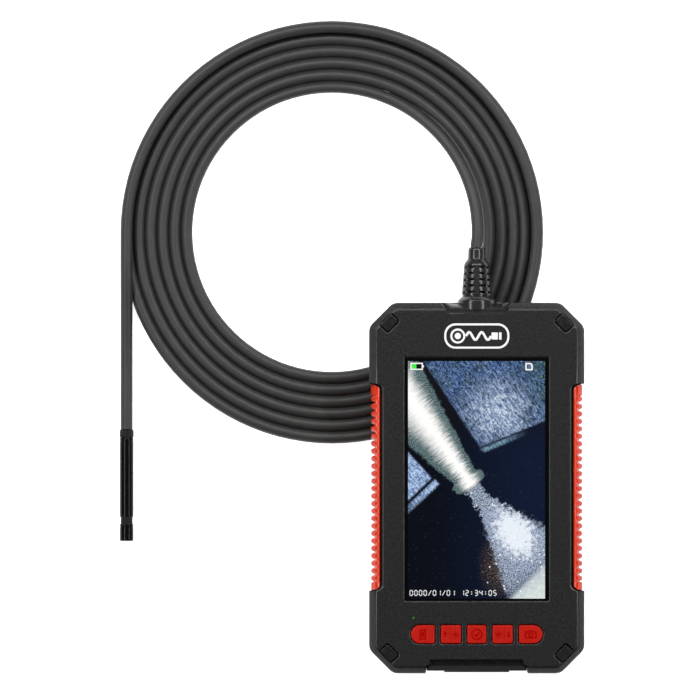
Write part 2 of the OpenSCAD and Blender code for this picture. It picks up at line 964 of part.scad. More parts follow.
module probe_collar() {
    color([0.08, 0.08, 0.08])
        along_probe(0)
            difference() {
                union() {
                    cylinder(r = probe_r, h = collar_l);
                    cylinder(r = barrel_in, h = collar_l + 2);
                }
                translate([0, 0, cut])
                    cylinder(r = bore_r, h = collar_l + 2);
            }
}

module probe_barrel() {
    color([0.05, 0.05, 0.06])
        along_probe(collar_l)
            difference() {
                cylinder(r = probe_r, h = barrel_l);
                translate([0, 0, -cut])
                    cylinder(r = barrel_in, h = barrel_l + 2 * cut);
            }
}

module probe_seal() {
    color([0.1, 0.1, 0.1])
        along_probe(collar_l + barrel_l)
            difference() {
                cylinder(r = probe_r - 0.3, h = seal_l);
                translate([0, 0, -cut])
                    cylinder(r = spigot_r, h = seal_l + 2 * cut);
            }
}

module probe_tip() {
    color([0.05, 0.05, 0.06])
        along_probe(tip_start)
            difference() {
                union() {
                    cylinder(r = probe_r, h = tip_l);
                    translate([0, 0, -seal_l - 2])
                        cylinder(r = spigot_r, h = seal_l + 3);
                }
                translate([0, 0, 1.4])
                    cylinder(r = rim_in, h = tip_l);
                translate([0, 0, -seal_l - 3])
                    cylinder(r = bore_r, h = seal_l + 5);
            }
}

module lens_window() {
    color([0.3, 0.3, 0.35])
        along_probe(tip_start + tip_l - 0.9)
            cylinder(r = rim_in, h = 0.6);
}

module lens_barrel() {
    color([0.1, 0.1, 0.1])
        along_probe(tip_start + tip_l - 4.1)
            cylinder(r = bore_r, h = 3.2);
}

module image_sensor() {
    color([0.2, 0.25, 0.2])
        along_probe(tip_start + 1.4)
            translate([-1.2, -1.2, 0])
                cube([2.4, 2.4, tip_l - 5.5]);
}

module led_ring() {
    color([0.85, 0.85, 0.85])
        along_probe(tip_start + tip_l - 2.3)
            difference() {
                cylinder(r = rim_in, h = 0.5);
                translate([0, 0, -cut])
                    cylinder(r = bore_r, h = 3);
            }
}

module probe_leds() {
    color([1, 0.95, 0.7])
        along_probe(tip_start + tip_l - 1.8)
            for (i = [0 : led_count - 1])
                rotate([0, 0, 360 / led_count * i])
                    translate([1.25, -0.4, 0])
                        cube([0.8, 0.8, 0.6]);
}

front_shell();
rear_shell();
shell_gasket();
grip_left();
grip_right();
corner_pads();
screen_window();
window_gasket();
display_panel();
display_frame();
front_badge();
main_board();
board_screws();
key_switches();
keypad_mat();
key_menu();
key_up();
key_ok();
key_down();
key_camera();
status_led();
light_pipe();
battery_cell();
battery_cradle();
battery_contacts();
usb_port();
card_slot();
memory_card();
case_screws();
port_cover();
cover_pin();
lead_clamp();
clamp_screws();
lead_connector();
lead_entry();
strain_relief();
cable_lead();
cable_coil();
cable_tail();
probe_collar();
probe_barrel();
probe_seal();
probe_tip();
lens_window();
lens_barrel();
image_sensor();
led_ring();
probe_leds();
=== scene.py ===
# %% [markdown]
# # An inspection camera on a white table
# The camera is a handset with a screen, five red keys and two red side grips. A black lead leaves its upper end,
# lies in a flat coil, and ends in a slim camera head. The frame below brings in the solid model, in metres. Every
# piece made here takes its place from that model, so nothing has to be fitted by eye.

# %% Load the solid model
import math
import bmesh
import bpy
from mathutils import Matrix, Vector


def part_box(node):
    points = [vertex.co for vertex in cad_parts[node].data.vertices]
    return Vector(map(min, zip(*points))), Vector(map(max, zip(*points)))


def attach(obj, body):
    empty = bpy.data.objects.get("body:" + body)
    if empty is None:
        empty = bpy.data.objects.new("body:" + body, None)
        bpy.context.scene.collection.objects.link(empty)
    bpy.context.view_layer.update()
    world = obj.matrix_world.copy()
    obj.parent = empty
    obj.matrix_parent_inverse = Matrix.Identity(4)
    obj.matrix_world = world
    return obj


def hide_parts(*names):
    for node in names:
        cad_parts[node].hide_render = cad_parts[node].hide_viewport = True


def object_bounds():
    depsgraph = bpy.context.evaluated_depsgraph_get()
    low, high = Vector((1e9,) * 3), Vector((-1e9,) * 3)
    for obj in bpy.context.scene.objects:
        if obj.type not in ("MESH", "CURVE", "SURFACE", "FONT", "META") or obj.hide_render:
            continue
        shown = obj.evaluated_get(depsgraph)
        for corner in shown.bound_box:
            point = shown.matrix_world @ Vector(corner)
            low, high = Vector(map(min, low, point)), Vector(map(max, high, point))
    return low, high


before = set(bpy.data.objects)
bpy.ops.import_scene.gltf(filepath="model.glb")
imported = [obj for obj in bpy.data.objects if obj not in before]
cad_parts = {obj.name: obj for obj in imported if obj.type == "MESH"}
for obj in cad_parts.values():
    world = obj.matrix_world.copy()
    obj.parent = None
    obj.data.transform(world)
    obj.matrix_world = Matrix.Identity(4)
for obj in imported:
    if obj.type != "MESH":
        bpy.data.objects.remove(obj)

cad_box = [list(corner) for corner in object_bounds()]
MM = 0.001
scene = bpy.context.scene
print("solid model:", [round(value / MM, 1) for corner in cad_box for value in corner], "mm")

# %% [markdown]
# ## The camera
# A product shot of a flat object is taken from straight above. A very long lens, far away, keeps the sides of the
# handset out of sight, as an orthographic view would, and it still behaves when the camera moves to other angles.

# %% Camera
LENS = 1000
SENSOR = 36
VIEW_WIDTH = 280 * MM
FRAMING = Vector((-0.7, -1.3, 0)) * MM

low, high = (Vector(corner) for corner in cad_box)
aim = (low + high) / 2 + FRAMING
camera_data = bpy.data.cameras.new("camera")
camera_data.lens = LENS
camera_data.sensor_width = SENSOR
camera_data.clip_end = 100
camera = bpy.data.objects.new("camera", camera_data)
camera.location = (aim.x, aim.y, high.z + VIEW_WIDTH * LENS / SENSOR)
scene.collection.objects.link(camera)
scene.camera = camera
print("camera", round(camera.location.z, 2), "m above the table")

# %% [markdown]
# ## Helpers
# Pieces are drawn in millimetres and turned into metres once, when their mesh is made. A finished piece has its
# place in its mesh and its object at the origin, so a pattern that reads object coordinates stays put on it.

# %% Mesh helpers
def new_object(name, data):
    """Put new data into the scene as an object at the origin."""
    piece = bpy.data.objects.new(name, data)
    scene.collection.objects.link(piece)
    return piece


def mesh_object(name, points, faces):
    """A mesh object from points in millimetres."""
    mesh = bpy.data.meshes.new(name)
    mesh.from_pydata([(x * MM, y * MM, z * MM) for x, y, z in points], [], faces)
    mesh.validate()
    mesh.update()
    return new_object(name, mesh)


def outward(obj):
    """Turn the faces of a closed solid so that they all point out."""
    solid = bmesh.new()
    solid.from_mesh(obj.data)
    bmesh.ops.recalc_face_normals(solid, faces=solid.faces)
    solid.to_mesh(obj.data)
    solid.free()
    return obj


def loft(name, rings):
    """A closed solid through rings of points, each with the same number of points, anticlockwise from above."""
    count = len(rings[0])
    points = [point for ring in rings for point in ring]
    faces = [tuple(reversed(range(count)))]
    for level in range(len(rings) - 1):
        for i in range(count):
            a = level * count + i
            b = level * count + (i + 1) % count
            faces.append((a, b, b + count, a + count))
    faces.append(tuple(range((len(rings) - 1) * count, len(rings) * count)))
    return outward(mesh_object(name, points, faces))


def turned(name, profile, start, way=1, sides=64):
    """A solid turned about a line along Y. The profile holds (radius, distance) from one end to the other."""
    points, faces = [], []
    for radius, distance in profile:
        for i in range(sides):
            turn = math.tau * i / sides
            y = start[1] + way * distance
            points.append((start[0] + radius * math.cos(turn), y, start[2] + radius * math.sin(turn)))
    for level in range(len(profile) - 1):
        for i in range(sides):
            a, b = level * sides + i, level * sides + (i + 1) % sides
            faces.append((a, b, b + sides, a + sides))
    faces.append(tuple(range(sides)))
    faces.append(tuple(range((len(profile) - 1) * sides, len(profile) * sides)))
    return outward(mesh_object(name, points, faces))


def prism(name, outline, z0, z1):
    """An outline in the plane, pulled up into a solid."""
    return loft(name, [[(x, y, z0) for x, y in outline], [(x, y, z1) for x, y in outline]])


def placed(obj, matrix):
    """Write a place into the mesh itself."""
    obj.data.transform(matrix)
    return obj


def baked(obj):
    """Turn an object and its modifiers into a plain mesh."""
    graph = bpy.context.evaluated_depsgraph_get()
    mesh = bpy.data.meshes.new_from_object(obj.evaluated_get(graph), depsgraph=graph)
    obj.modifiers.clear()
    obj.data = mesh
    return obj


def combined(obj, operation, others):
    for other in others:
        modifier = obj.modifiers.new(operation.lower(), "BOOLEAN")
        modifier.operation = operation
        modifier.solver = "EXACT"
        modifier.object = other
        bpy.context.view_layer.update()
        baked(obj)
        bpy.data.objects.remove(other)
    return obj


def cut(obj, *cutters):
    """Take solids away from a solid."""
    return combined(obj, "DIFFERENCE", cutters)


def fused(obj, *others):
    """Add solids to a solid, with no faces left inside."""
    return combined(obj, "UNION", others)


def joined(name, *pieces):
    """Several meshes as one object."""
    merged = bmesh.new()
    for piece in pieces:
        merged.from_mesh(piece.data)
        bpy.data.objects.remove(piece)
    mesh = bpy.data.meshes.new(name)
    merged.to_mesh(mesh)
    merged.free()
    return new_object(name, mesh)


def soften(obj, width, segments=2, angle=32):
    """Round every sharp edge a little, as a mould does, and shade smoothly between the edges."""
    if width > 0:
        bevel = obj.modifiers.new("edge", "BEVEL")
        bevel.width = width * MM
        bevel.segments = segments
        bevel.limit_method = "ANGLE"
        bevel.angle_limit = math.radians(angle)
        bevel.use_clamp_overlap = True
        bpy.context.view_layer.update()
        baked(obj)
    obj.data.shade_smooth()
    obj.data.set_sharp_from_angle(angle=math.radians(angle))
    # broad faces keep their own direction, so they stay flat beside a rounded edge
    weigh = obj.modifiers.new("weigh", "WEIGHTED_NORMAL")
    weigh.keep_sharp = True
    weigh.weight = 90
    bpy.context.view_layer.update()
    return baked(obj)


def finished(obj, material, body, slot, *nodes):
    """Give a piece its material and its body, and hide the CAD nodes that it stands for. The slot is not used."""
    obj.data.materials.clear()
    obj.data.materials.append(material)
    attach(obj, body)
    if nodes:
        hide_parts(*nodes)
    print(obj.name, len(obj.data.polygons), "faces on", body)
    return obj


# %% Outlines
def arc(cx, cy, radius, start, end, steps=8):
    """Points along an arc, with both ends."""
    turns = [math.radians(start + (end - start) * i / steps) for i in range(steps + 1)]
    return [(cx + radius * math.cos(a), cy + radius * math.sin(a)) for a in turns]


def rounded_rectangle(width, length, radius, cx=0.0, cy=0.0, steps=6):
    """A rectangle with round corners, anticlockwise."""
    w, l = width / 2 - radius, length / 2 - radius
    points = arc(cx + w, cy + l, radius, 0, 90, steps) + arc(cx - w, cy + l, radius, 90, 180, steps)
    return points + arc(cx - w, cy - l, radius, 180, 270, steps) + arc(cx + w, cy - l, radius, 270, 360, steps)


HALF_W = 43.1
HALF_L = 74.2
FACE = 30.0
PART = 18.0
CORNER_CUT = 9.6
CORNER_R = 4.7


def handset_outline(inset):
    """The handset seen from above: a rectangle whose corners are cut at 45 degrees, set in by a distance."""
    w, l = HALF_W - inset, HALF_L - inset
    leg = CORNER_CUT - inset * (2 - math.sqrt(2))
    r = max(CORNER_R - inset, 0.4)
    back = r * math.tan(math.radians(22.5))
    corner = arc(w - r, l - leg - back, r, 0, 45, 6) + arc(w - leg - back, l - r, r, 45, 90, 6)
    left = [(-x, y) for x, y in reversed(corner)]
    below = [(-x, -y) for x, y in corner]
    right = [(x, -y) for x, y in reversed(corner)]
    return corner + left + below + right


print("outline of", len(handset_outline(0)), "points")

# %% [markdown]
# ## Material helpers
# Each finish is a small node tree. The pattern reads object coordinates in metres, so a scale of 2000 makes grains
# about half a millimetre across. Values that are the same all over sit on the shader's own sockets.

# %% Node helpers
class Tree:
    """A material's node tree, with short calls for the nodes that the finishes use."""

    def __init__(self, name):
        self.material = bpy.data.materials.new(name)
        self.material.use_nodes = True
        self.nodes = self.material.node_tree.nodes
        self.links = self.material.node_tree.links
        self.shader = self.nodes["Principled BSDF"]
        self.place = self.nodes.new("ShaderNodeTexCoord").outputs["Object"]

    def put(self, socket, value):
        """Link a socket or set its value."""
        if isinstance(value, bpy.types.NodeSocket):
            self.links.new(value, socket)
        else:
            socket.default_value = value

    def set(self, **values):
        """Set the shader's own sockets by name, with _ for a space."""
        for name, value in values.items():
            self.put(self.shader.inputs[name.replace("_", " ")], value)
        return self

    def noise(self, scale, detail=3.0, roughness=0.5, place=None, distortion=0.0):
        node = self.nodes.new("ShaderNodeTexNoise")
        self.put(node.inputs["Vector"], place or self.place)
        node.inputs["Scale"].default_value = scale
        node.inputs["Detail"].default_value = detail
        node.inputs["Roughness"].default_value = roughness
        node.inputs["Distortion"].default_value = distortion
        return node.outputs["Fac"]

    def math(self, operation, a, b=0.0, c=0.0, clamp=False):
        node = self.nodes.new("ShaderNodeMath")
        node.operation = operation
        node.use_clamp = clamp
        for socket, value in zip(node.inputs, (a, b, c)):
            self.put(socket, value)
        return node.outputs[0]

    def range(self, value, low_in, high_in, low_out=0.0, high_out=1.0, smooth=True):
        node = self.nodes.new("ShaderNodeMapRange")
        node.interpolation_type = "SMOOTHSTEP" if smooth else "LINEAR"
        for socket, number in zip(node.inputs, (value, low_in, high_in, low_out, high_out)):
            self.put(socket, number)
        return node.outputs[0]

    def mix(self, factor, a, b, blend="MIX"):
        node = self.nodes.new("ShaderNodeMix")
        node.data_type = "RGBA"
        node.blend_type = blend
        self.put(node.inputs["Factor"], factor)
        for socket, value in ((node.inputs[6], a), (node.inputs[7], b)):
            self.put(socket, value if isinstance(value, bpy.types.NodeSocket) else (*value, 1.0))
        return node.outputs[2]

    def bump(self, height, strength, distance):
        node = self.nodes.new("ShaderNodeBump")
        node.inputs["Strength"].default_value = strength
        node.inputs["Distance"].default_value = distance
        self.links.new(height, node.inputs["Height"])
        self.links.new(node.outputs["Normal"], self.shader.inputs["Normal"])
        return self

    def vector(self, *values):
        node = self.nodes.new("ShaderNodeCombineXYZ")
        for socket, value in zip(node.inputs, values):
            self.put(socket, value)
        return node.outputs[0]

    def coordinates(self, place=None):
        node = self.nodes.new("ShaderNodeSeparateXYZ")
        self.put(node.inputs[0], place or self.place)
        return node.outputs


# %% [markdown]
# ## Geometry Nodes helper
# What repeats on this object, such as the teeth of the grips, the slots of the strain relief, the ridges of the
# collar and the screws, is made by small Geometry Nodes trees. A tree says the rule once, and its named inputs hold
# the sizes. The result is turned into a plain mesh, because other programs know nothing of the tree.

# %% Geometry Nodes helper
class Recipe:
    """A Geometry Nodes tree with named inputs. It ends in Realize Instances and Set Material."""

    def __init__(self, name):
        self.tree = bpy.data.node_groups.new(name, "GeometryNodeTree")
        self.socket("Geometry", "NodeSocketGeometry")
        self.tree.interface.new_socket("Geometry", in_out="OUTPUT", socket_type="NodeSocketGeometry")
        self.entry = self.tree.nodes.new("NodeGroupInput")

    def socket(self, name, kind, value=None):
        socket = self.tree.interface.new_socket(name, in_out="INPUT", socket_type=kind)
        if value is not None:
            socket.default_value = value

    def inputs(self, **values):
        """Named inputs: whole numbers, other numbers, and vectors by their kind."""
        kinds = {int: "NodeSocketInt", float: "NodeSocketFloat", tuple: "NodeSocketVector"}
        for name, value in values.items():
            self.socket(name, kinds[type(value)], value)
        self.socket("finish", "NodeSocketMaterial")
        return [self.entry.outputs[name] for name in values]

    def add(self, kind, *values, **settings):
        """A node with its first inputs filled in order. None leaves an input as it is."""
        node = self.tree.nodes.new(kind)
        for name, value in settings.items():
            setattr(node, name, value)
        sockets = [socket for socket in node.inputs if socket.enabled]
        for socket, value in zip(sockets, values):
            if isinstance(value, bpy.types.NodeSocket):
                self.tree.links.new(value, socket)
            elif value is not None:
                socket.default_value = value
        return next(socket for socket in node.outputs if socket.enabled)

    def math(self, operation, a, b=0.0, clamp=False):
        return self.add("ShaderNodeMath", a, b, operation=operation, use_clamp=clamp)

    def end(self, geometry):
        real = self.add("GeometryNodeRealizeInstances", geometry)
        coated = self.add("GeometryNodeSetMaterial", real, None, self.entry.outputs["finish"])
        result = self.tree.nodes.new("NodeGroupOutput")
        self.tree.links.new(coated, result.inputs["Geometry"])
        return self.tree


def grown(obj, tree, material, **values):
    """Run a recipe on an object and keep its result as a plain mesh."""
    modifier = obj.modifiers.new(tree.name, "NODES")
    modifier.node_group = tree
    values["finish"] = material
    for item in tree.interface.items_tree:
        if item.in_out == "INPUT" and item.name in values:
            modifier[item.identifier] = values[item.name]
    bpy.context.view_layer.update()
    return baked(obj)


# %% [markdown]
# ## Table and light
# The object lies on a plain white table that glows a little, so it stays white to the edge of the picture. Two long
# softboxes hang to the left and the right. On anything round they leave the pair of soft stripes that show it is
# round. The sky is bright above and dim at the sides, which makes the flanks of the lead and the shells fall off.

# %% Table and light
def white_table():
    tree = Tree("white_table")
    cloud = tree.noise(3, 2)
    tree.put(tree.shader.inputs["Base Color"], tree.mix(cloud, (0.86, 0.86, 0.86), (0.88, 0.88, 0.88)))
    tree.set(Roughness=0.9, Specular_IOR_Level=0.1)
    tree.set(Emission_Color=(1, 1, 1, 1), Emission_Strength=TABLE_GLOW)
    return tree.material


def studio_sky():
    """White all round, darker overhead and on the near side, so that bevels are brighter than flat faces."""
    world = bpy.data.worlds.new("studio_sky")
    world.use_nodes = True
    nodes, links = world.node_tree.nodes, world.node_tree.links
    direction = nodes.new("ShaderNodeTexCoord").outputs["Generated"]
    split = nodes.new("ShaderNodeSeparateXYZ")
    links.new(direction, split.inputs[0])
    ramps = []
    for axis, values in (("Z", (0.1, 1.0, SKY_LOW, SKY_HIGH)), ("Y", (-0.7, 0.7, SKY_NEAR, 1.25))):
        ramp = nodes.new("ShaderNodeMapRange")
        ramp.interpolation_type = "SMOOTHSTEP"
        for socket, value in zip(ramp.inputs[1:5], values):
            socket.default_value = value
        links.new(split.outputs[axis], ramp.inputs[0])
        ramps.append(ramp.outputs[0])
    product = nodes.new("ShaderNodeMath")
    product.operation = "MULTIPLY"
    links.new(ramps[0], product.inputs[0])
    links.new(ramps[1], product.inputs[1])
    links.new(product.outputs[0], nodes["Background"].inputs["Strength"])
    return world


def softbox(name, place, width, length, power):
    """A rectangular lamp that faces the handset."""
    data = bpy.data.lights.new(name, "AREA")
    data.shape = "RECTANGLE"
    data.size, data.size_y, data.energy = width, length, power
    lamp = new_object(name, data)
    lamp.location = place
    lamp.rotation_euler = (-Vector(place)).to_track_quat("-Z", "Y").to_euler()


TABLE_GLOW = 0.85
SKY_LOW = 0.5
SKY_HIGH = 0.2
SKY_NEAR = 0.3
table = mesh_object("table", [(-3000, -3000, -0.05), (3000, -3000, -0.05), (3000, 3000, -0.05), (-3000, 3000, -0.05)],
                    [(0, 1, 2, 3)])
table.data.materials.append(white_table())
softbox("left_softbox", (-0.62, 0.15, 0.8), 1.3, 0.10, 7.0)
softbox("right_softbox", (0.62, 0.15, 0.8), 1.3, 0.10, 6.4)
softbox("far_softbox", (0, 0.5, 0.72), 0.9, 0.12, 5.0)
scene.world = studio_sky()
scene.view_settings.view_transform = "Standard"

# %% [markdown]
# ## Lead
# The lead is one length of rubber-sheathed cable. It leaves the strain relief, comes down on to the table, lies in
# six passes side by side, climbs on to the outermost pass for the last half turn, and runs down a straight tail
# into the camera head. A curve with one open spline holds that whole route, and its bevel gives it thickness.

# %% Lead sheath
def cable_sheath():
    """Dark, faintly uneven rubber with a satin surface."""
    tree = Tree("cable_sheath")
    cloud = tree.noise(260, 4)
    fine = tree.noise(5200, 2)
    tree.put(tree.shader.inputs["Base Color"], tree.mix(cloud, (0.017, 0.017, 0.0165), (0.030, 0.030, 0.029)))
    tree.put(tree.shader.inputs["Roughness"], tree.range(fine, 0.3, 0.7, 0.46, 0.58))
    tree.set(Specular_IOR_Level=0.42)
    return tree.bump(fine, 0.12, 0.00004).material


CABLE_SHEATH = cable_sheath()

# %% Lead route
LEAD_D = 4.8
COIL_TURNS = 6
FIRST_R = 58.4
LEAD_Z = 18.0
RELIEF_TIP = 96.5
STEPS_A_TURN = 96
coil_low, coil_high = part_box("cable_coil")
coil_x = (coil_low.x + coil_high.x) / 2 / MM
coil_y = (coil_low.y + coil_high.y) / 2 / MM
LAST_R = FIRST_R + (COIL_TURNS - 1) * LEAD_D

# from the strain relief down on to the coil: angle round the coil, height
lead_route = [
    (0, 17.7), (8, 16.6), (16, 14.8), (24, 12.6), (32, 10.2), (40, 7.8), (48, 5.6), (56, 3.8), (64, 2.7), (72, 2.4)
]
# down the straight tail: distance past the coil's middle, height
tail_route = [
    (0, 7.2), (8, 7.2), (15, 7), (22, 6.2), (28, 5.2), (34, 4.2), (42, 3.2), (50, 2.6), (60, 2.5), (70, 2.75), (79, 2.75)
]


def on_coil(angle, radius, height):
    turn = math.radians(angle)
    return (coil_x + radius * math.cos(turn), coil_y + radius * math.sin(turn), height)


def smooth(value):
    value = min(max(value, 0.0), 1.0)
    return value * value * (3 - 2 * value)


def coil_point(angle):
    """A point of the winding. It steps out by one diameter in each turn, where the handset lies over it."""
    step_start, step_end = 288, 324
    turn, part = divmod(angle, 360)
    done = smooth((part - step_start) / (step_end - step_start))
    height = LEAD_D / 2
    radius = FIRST_R + (turn + done) * LEAD_D
    if turn == COIL_TURNS - 1 and done > 0:
        # the last pass rolls over its neighbour on to the second layer
        tilt = math.radians(90) * done
        radius = LAST_R - LEAD_D + LEAD_D * (done + math.cos(tilt))
        height += LEAD_D * math.sin(tilt)
    if turn >= COIL_TURNS:
        radius = LAST_R
        height = 1.5 * LEAD_D
    return on_coil(angle, radius, height)


def smooth_line(points, steps):
    """Points along a smooth line through chosen points."""
    line = []
    for i in range(len(points) - 1):
        p0 = Vector(points[max(i - 1, 0)])
        p1, p2 = Vector(points[i]), Vector(points[i + 1])
        p3 = Vector(points[min(i + 2, len(points) - 1)])
        for k in range(steps):
            t = k / steps
            a = 2 * p1 + (p2 - p0) * t
            b = (2 * p0 - 5 * p1 + 4 * p2 - p3) * t ** 2
            c = (3 * p1 - p0 - 3 * p2 + p3) * t ** 3
            line.append(tuple((a + b + c) / 2))
    return line + [tuple(points[-1])]


drop = [(0, RELIEF_TIP, LEAD_Z), (0, RELIEF_TIP + 1, LEAD_Z)]
drop += [on_coil(angle, FIRST_R, height) for angle, height in lead_route]
first_angle = lead_route[-1][0]
last_angle = COIL_TURNS * 360 + 180
steps = round((last_angle - first_angle) / 360 * STEPS_A_TURN)
winding = [coil_point(first_angle + (last_angle - first_angle) * i / steps) for i in range(1, steps)]
tail = [(coil_x - LAST_R, coil_y - distance, height) for distance, height in tail_route]
route = smooth_line(drop, 6) + winding + smooth_line(tail, 6)

curve = bpy.data.curves.new("lead", "CURVE")
curve.dimensions = "3D"
curve.bevel_depth = LEAD_D / 2 * 1.004 * MM
curve.bevel_resolution = 10
curve.use_fill_caps = True
spline = curve.splines.new("POLY")
spline.points.add(len(route) - 1)
for point, (x, y, z) in zip(spline.points, route):
    point.co = (x * MM, y * MM, z * MM, 1)
spline.use_smooth = True
lead = new_object("lead", curve)
curve.materials.append(CABLE_SHEATH)
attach(lead, "handset")
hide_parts("cable_lead", "cable_coil", "cable_tail")

# %% [markdown]
# ## Camera head
# The head is a slim steel tube with a black coating: a ridged collar that grips the lead, a long polished barrel, a
# rubber seal in a groove, and a short tip that holds the lens and six lamps behind a window. Turned parts have small
# chamfers, and it is the chamfers that catch the light, so each profile has them.

# %% Head finishes
def coated_steel():
    """Black coating on steel, polished, with faint marks round the tube from polishing."""
    tree = Tree("coated_steel")
    x, y, z = tree.coordinates()
    marks = tree.noise(9000, 2, place=tree.vector(0.0, y, 0.0))
    cloud = tree.noise(400, 3)
    tree.put(tree.shader.inputs["Base Color"], tree.mix(cloud, (0.002, 0.002, 0.002), (0.005, 0.005, 0.005)))
    tree.put(tree.shader.inputs["Roughness"], tree.range(marks, 0.3, 0.7, 0.14, 0.20))
    tree.set(Specular_IOR_Level=0.12)
    return tree.bump(marks, 0.05, 0.00002).material


def seal_rubber():
    """Matt black rubber with a powdery, uneven bloom."""
    tree = Tree("seal_rubber")
    bloom = tree.noise(700, 4, 0.6)
    tree.put(tree.shader.inputs["Base Color"], tree.mix(bloom, (0.006, 0.006, 0.006), (0.015, 0.015, 0.015)))
    tree.put(tree.shader.inputs["Roughness"], tree.range(bloom, 0.3, 0.7, 0.5, 0.7))
    tree.set(Specular_IOR_Level=0.16)
    return tree.bump(bloom, 0.1, 0.00005).material


COATED_STEEL = coated_steel()
SEAL_RUBBER = seal_rubber()

# %% Collar with ridges
HEAD_R = 2.75
COLLAR_L = 3.5
BARREL_L = 31.7
SEAL_L = 3.0
TIP_L = 6.7
head_start = (coil_x - LAST_R, coil_y - tail_route[-1][0], HEAD_R)


def collar_ridges():
    """One ridge, repeated round a circle and along it in rows that are turned by half a step."""
    recipe = Recipe("collar_ridges")
    ridges, rows, radius, pitch, centre = recipe.inputs(
        ridges=26, rows=4, radius=0.0026, pitch=0.0007, centre=(0.0, 0.0, 0.0)
    )
    bump = recipe.add("GeometryNodeMeshIcoSphere", 0.00036, 1)
    line = recipe.add("GeometryNodeMeshLine", rows, (0.0, 0.0, 0.0), (0.0, 0.0, 0.0), mode="OFFSET")
    row = recipe.add("GeometryNodeInputIndex")
    ring = recipe.add("GeometryNodeMeshCircle", ridges, radius)
    rings = recipe.add("GeometryNodeInstanceOnPoints", line, None, ring)
    turn = recipe.add("ShaderNodeCombineXYZ", 0.0, 0.0, recipe.math("MULTIPLY", row, math.pi / 26))
    rings = recipe.add("GeometryNodeRotateInstances", rings, None, turn)
    lift = recipe.add("ShaderNodeCombineXYZ", 0.0, 0.0, recipe.math("MULTIPLY", row, pitch))
    rings = recipe.add("GeometryNodeTranslateInstances", rings, None, lift, None)
    spots = recipe.add("GeometryNodeRealizeInstances", rings)
    bumps = recipe.add("GeometryNodeInstanceOnPoints", spots, None, bump)
    whole = recipe.add("GeometryNodeTransform", recipe.add("GeometryNodeRealizeInstances", bumps),
                       centre, (math.pi / 2, 0.0, 0.0))
    join = recipe.tree.nodes.new("GeometryNodeJoinGeometry")
    recipe.tree.links.new(whole, join.inputs[0])
    recipe.tree.links.new(recipe.entry.outputs["Geometry"], join.inputs[0])
    return recipe.end(join.outputs[0])


def camera_head_collar():
    profile = [(0.9, 0.0), (2.2, 0.0), (2.62, 0.3), (2.62, 3.2), (2.5, COLLAR_L), (0.9, COLLAR_L)]
    collar = turned("camera_head_collar", profile, head_start, -1)
    first = Vector((head_start[0], head_start[1] - 0.7, head_start[2])) * MM
    return grown(collar, collar_ridges(), COATED_STEEL, centre=tuple(first))


collar = finished(camera_head_collar(), COATED_STEEL, "handset", "dark_metal", "probe_collar")

# %% Barrel, seal and tip
def along_head(distance):
    return (head_start[0], head_start[1] - distance, head_start[2])


barrel_profile = [(2.4, 0.0), (2.68, 0.0), (2.75, 0.12), (2.75, 1.1), (2.68, 1.2), (2.68, 1.5), (2.75, 1.6)]
barrel_profile += [(2.75, BARREL_L - 0.15), (2.6, BARREL_L), (2.4, BARREL_L)]
barrel = soften(turned("camera_head_barrel", barrel_profile, along_head(COLLAR_L), -1), 0)
finished(barrel, COATED_STEEL, "handset", "dark_metal", "probe_barrel")

seal_profile = [(2.2, 0.0), (2.45, 0.0)]
for groove in (0.75, 1.5, 2.25):
    seal_profile += [(2.45, groove - 0.2), (2.3, groove - 0.1), (2.3, groove + 0.1), (2.45, groove + 0.2)]
seal_profile += [(2.45, SEAL_L), (2.2, SEAL_L)]
seal = soften(turned("camera_head_seal", seal_profile, along_head(COLLAR_L + BARREL_L), -1), 0)
finished(seal, SEAL_RUBBER, "handset", "seal", "probe_seal")

tip_start = COLLAR_L + BARREL_L + SEAL_L
tip_profile = [(2.2, 0.0), (2.65, 0.0), (2.75, 0.12), (2.75, 0.7), (2.62, 0.82), (2.62, 1.1), (2.75, 1.22)]
tip_profile += [(2.75, TIP_L - 0.3), (2.62, TIP_L - 0.05), (2.5, TIP_L), (2.35, TIP_L), (2.3, TIP_L - 0.35)]
tip_profile += [(2.3, TIP_L - 0.9), (0.8, TIP_L - 0.9)]
tip = soften(turned("camera_head_tip", tip_profile, along_head(tip_start), -1), 0)
finished(tip, COATED_STEEL, "handset", "dark_metal", "probe_tip")


# %% Window with the lens and six lamps
def head_glass():
    """The front window: dark, very smooth glass, bluish towards its rim from a lens coating."""
    tree = Tree("head_glass")
    cloud = tree.noise(900, 2)
    tree.put(tree.shader.inputs["Base Color"], tree.mix(cloud, (0.010, 0.012, 0.020), (0.018, 0.018, 0.030)))
    tree.put(tree.shader.inputs["Roughness"], tree.range(cloud, 0.3, 0.7, 0.03, 0.07))
    tree.set(Coat_Weight=0.6, Coat_Roughness=0.03)
    return tree.material


def lamp_white():
    """Phosphor of a small white lamp: pale yellow and slightly grainy."""
    tree = Tree("lamp_white")
    grain = tree.noise(12000, 2)
    tree.put(tree.shader.inputs["Base Color"], tree.mix(grain, (0.80, 0.72, 0.36), (0.92, 0.86, 0.55)))
    tree.put(tree.shader.inputs["Roughness"], tree.range(grain, 0.3, 0.7, 0.3, 0.5))
    return tree.material


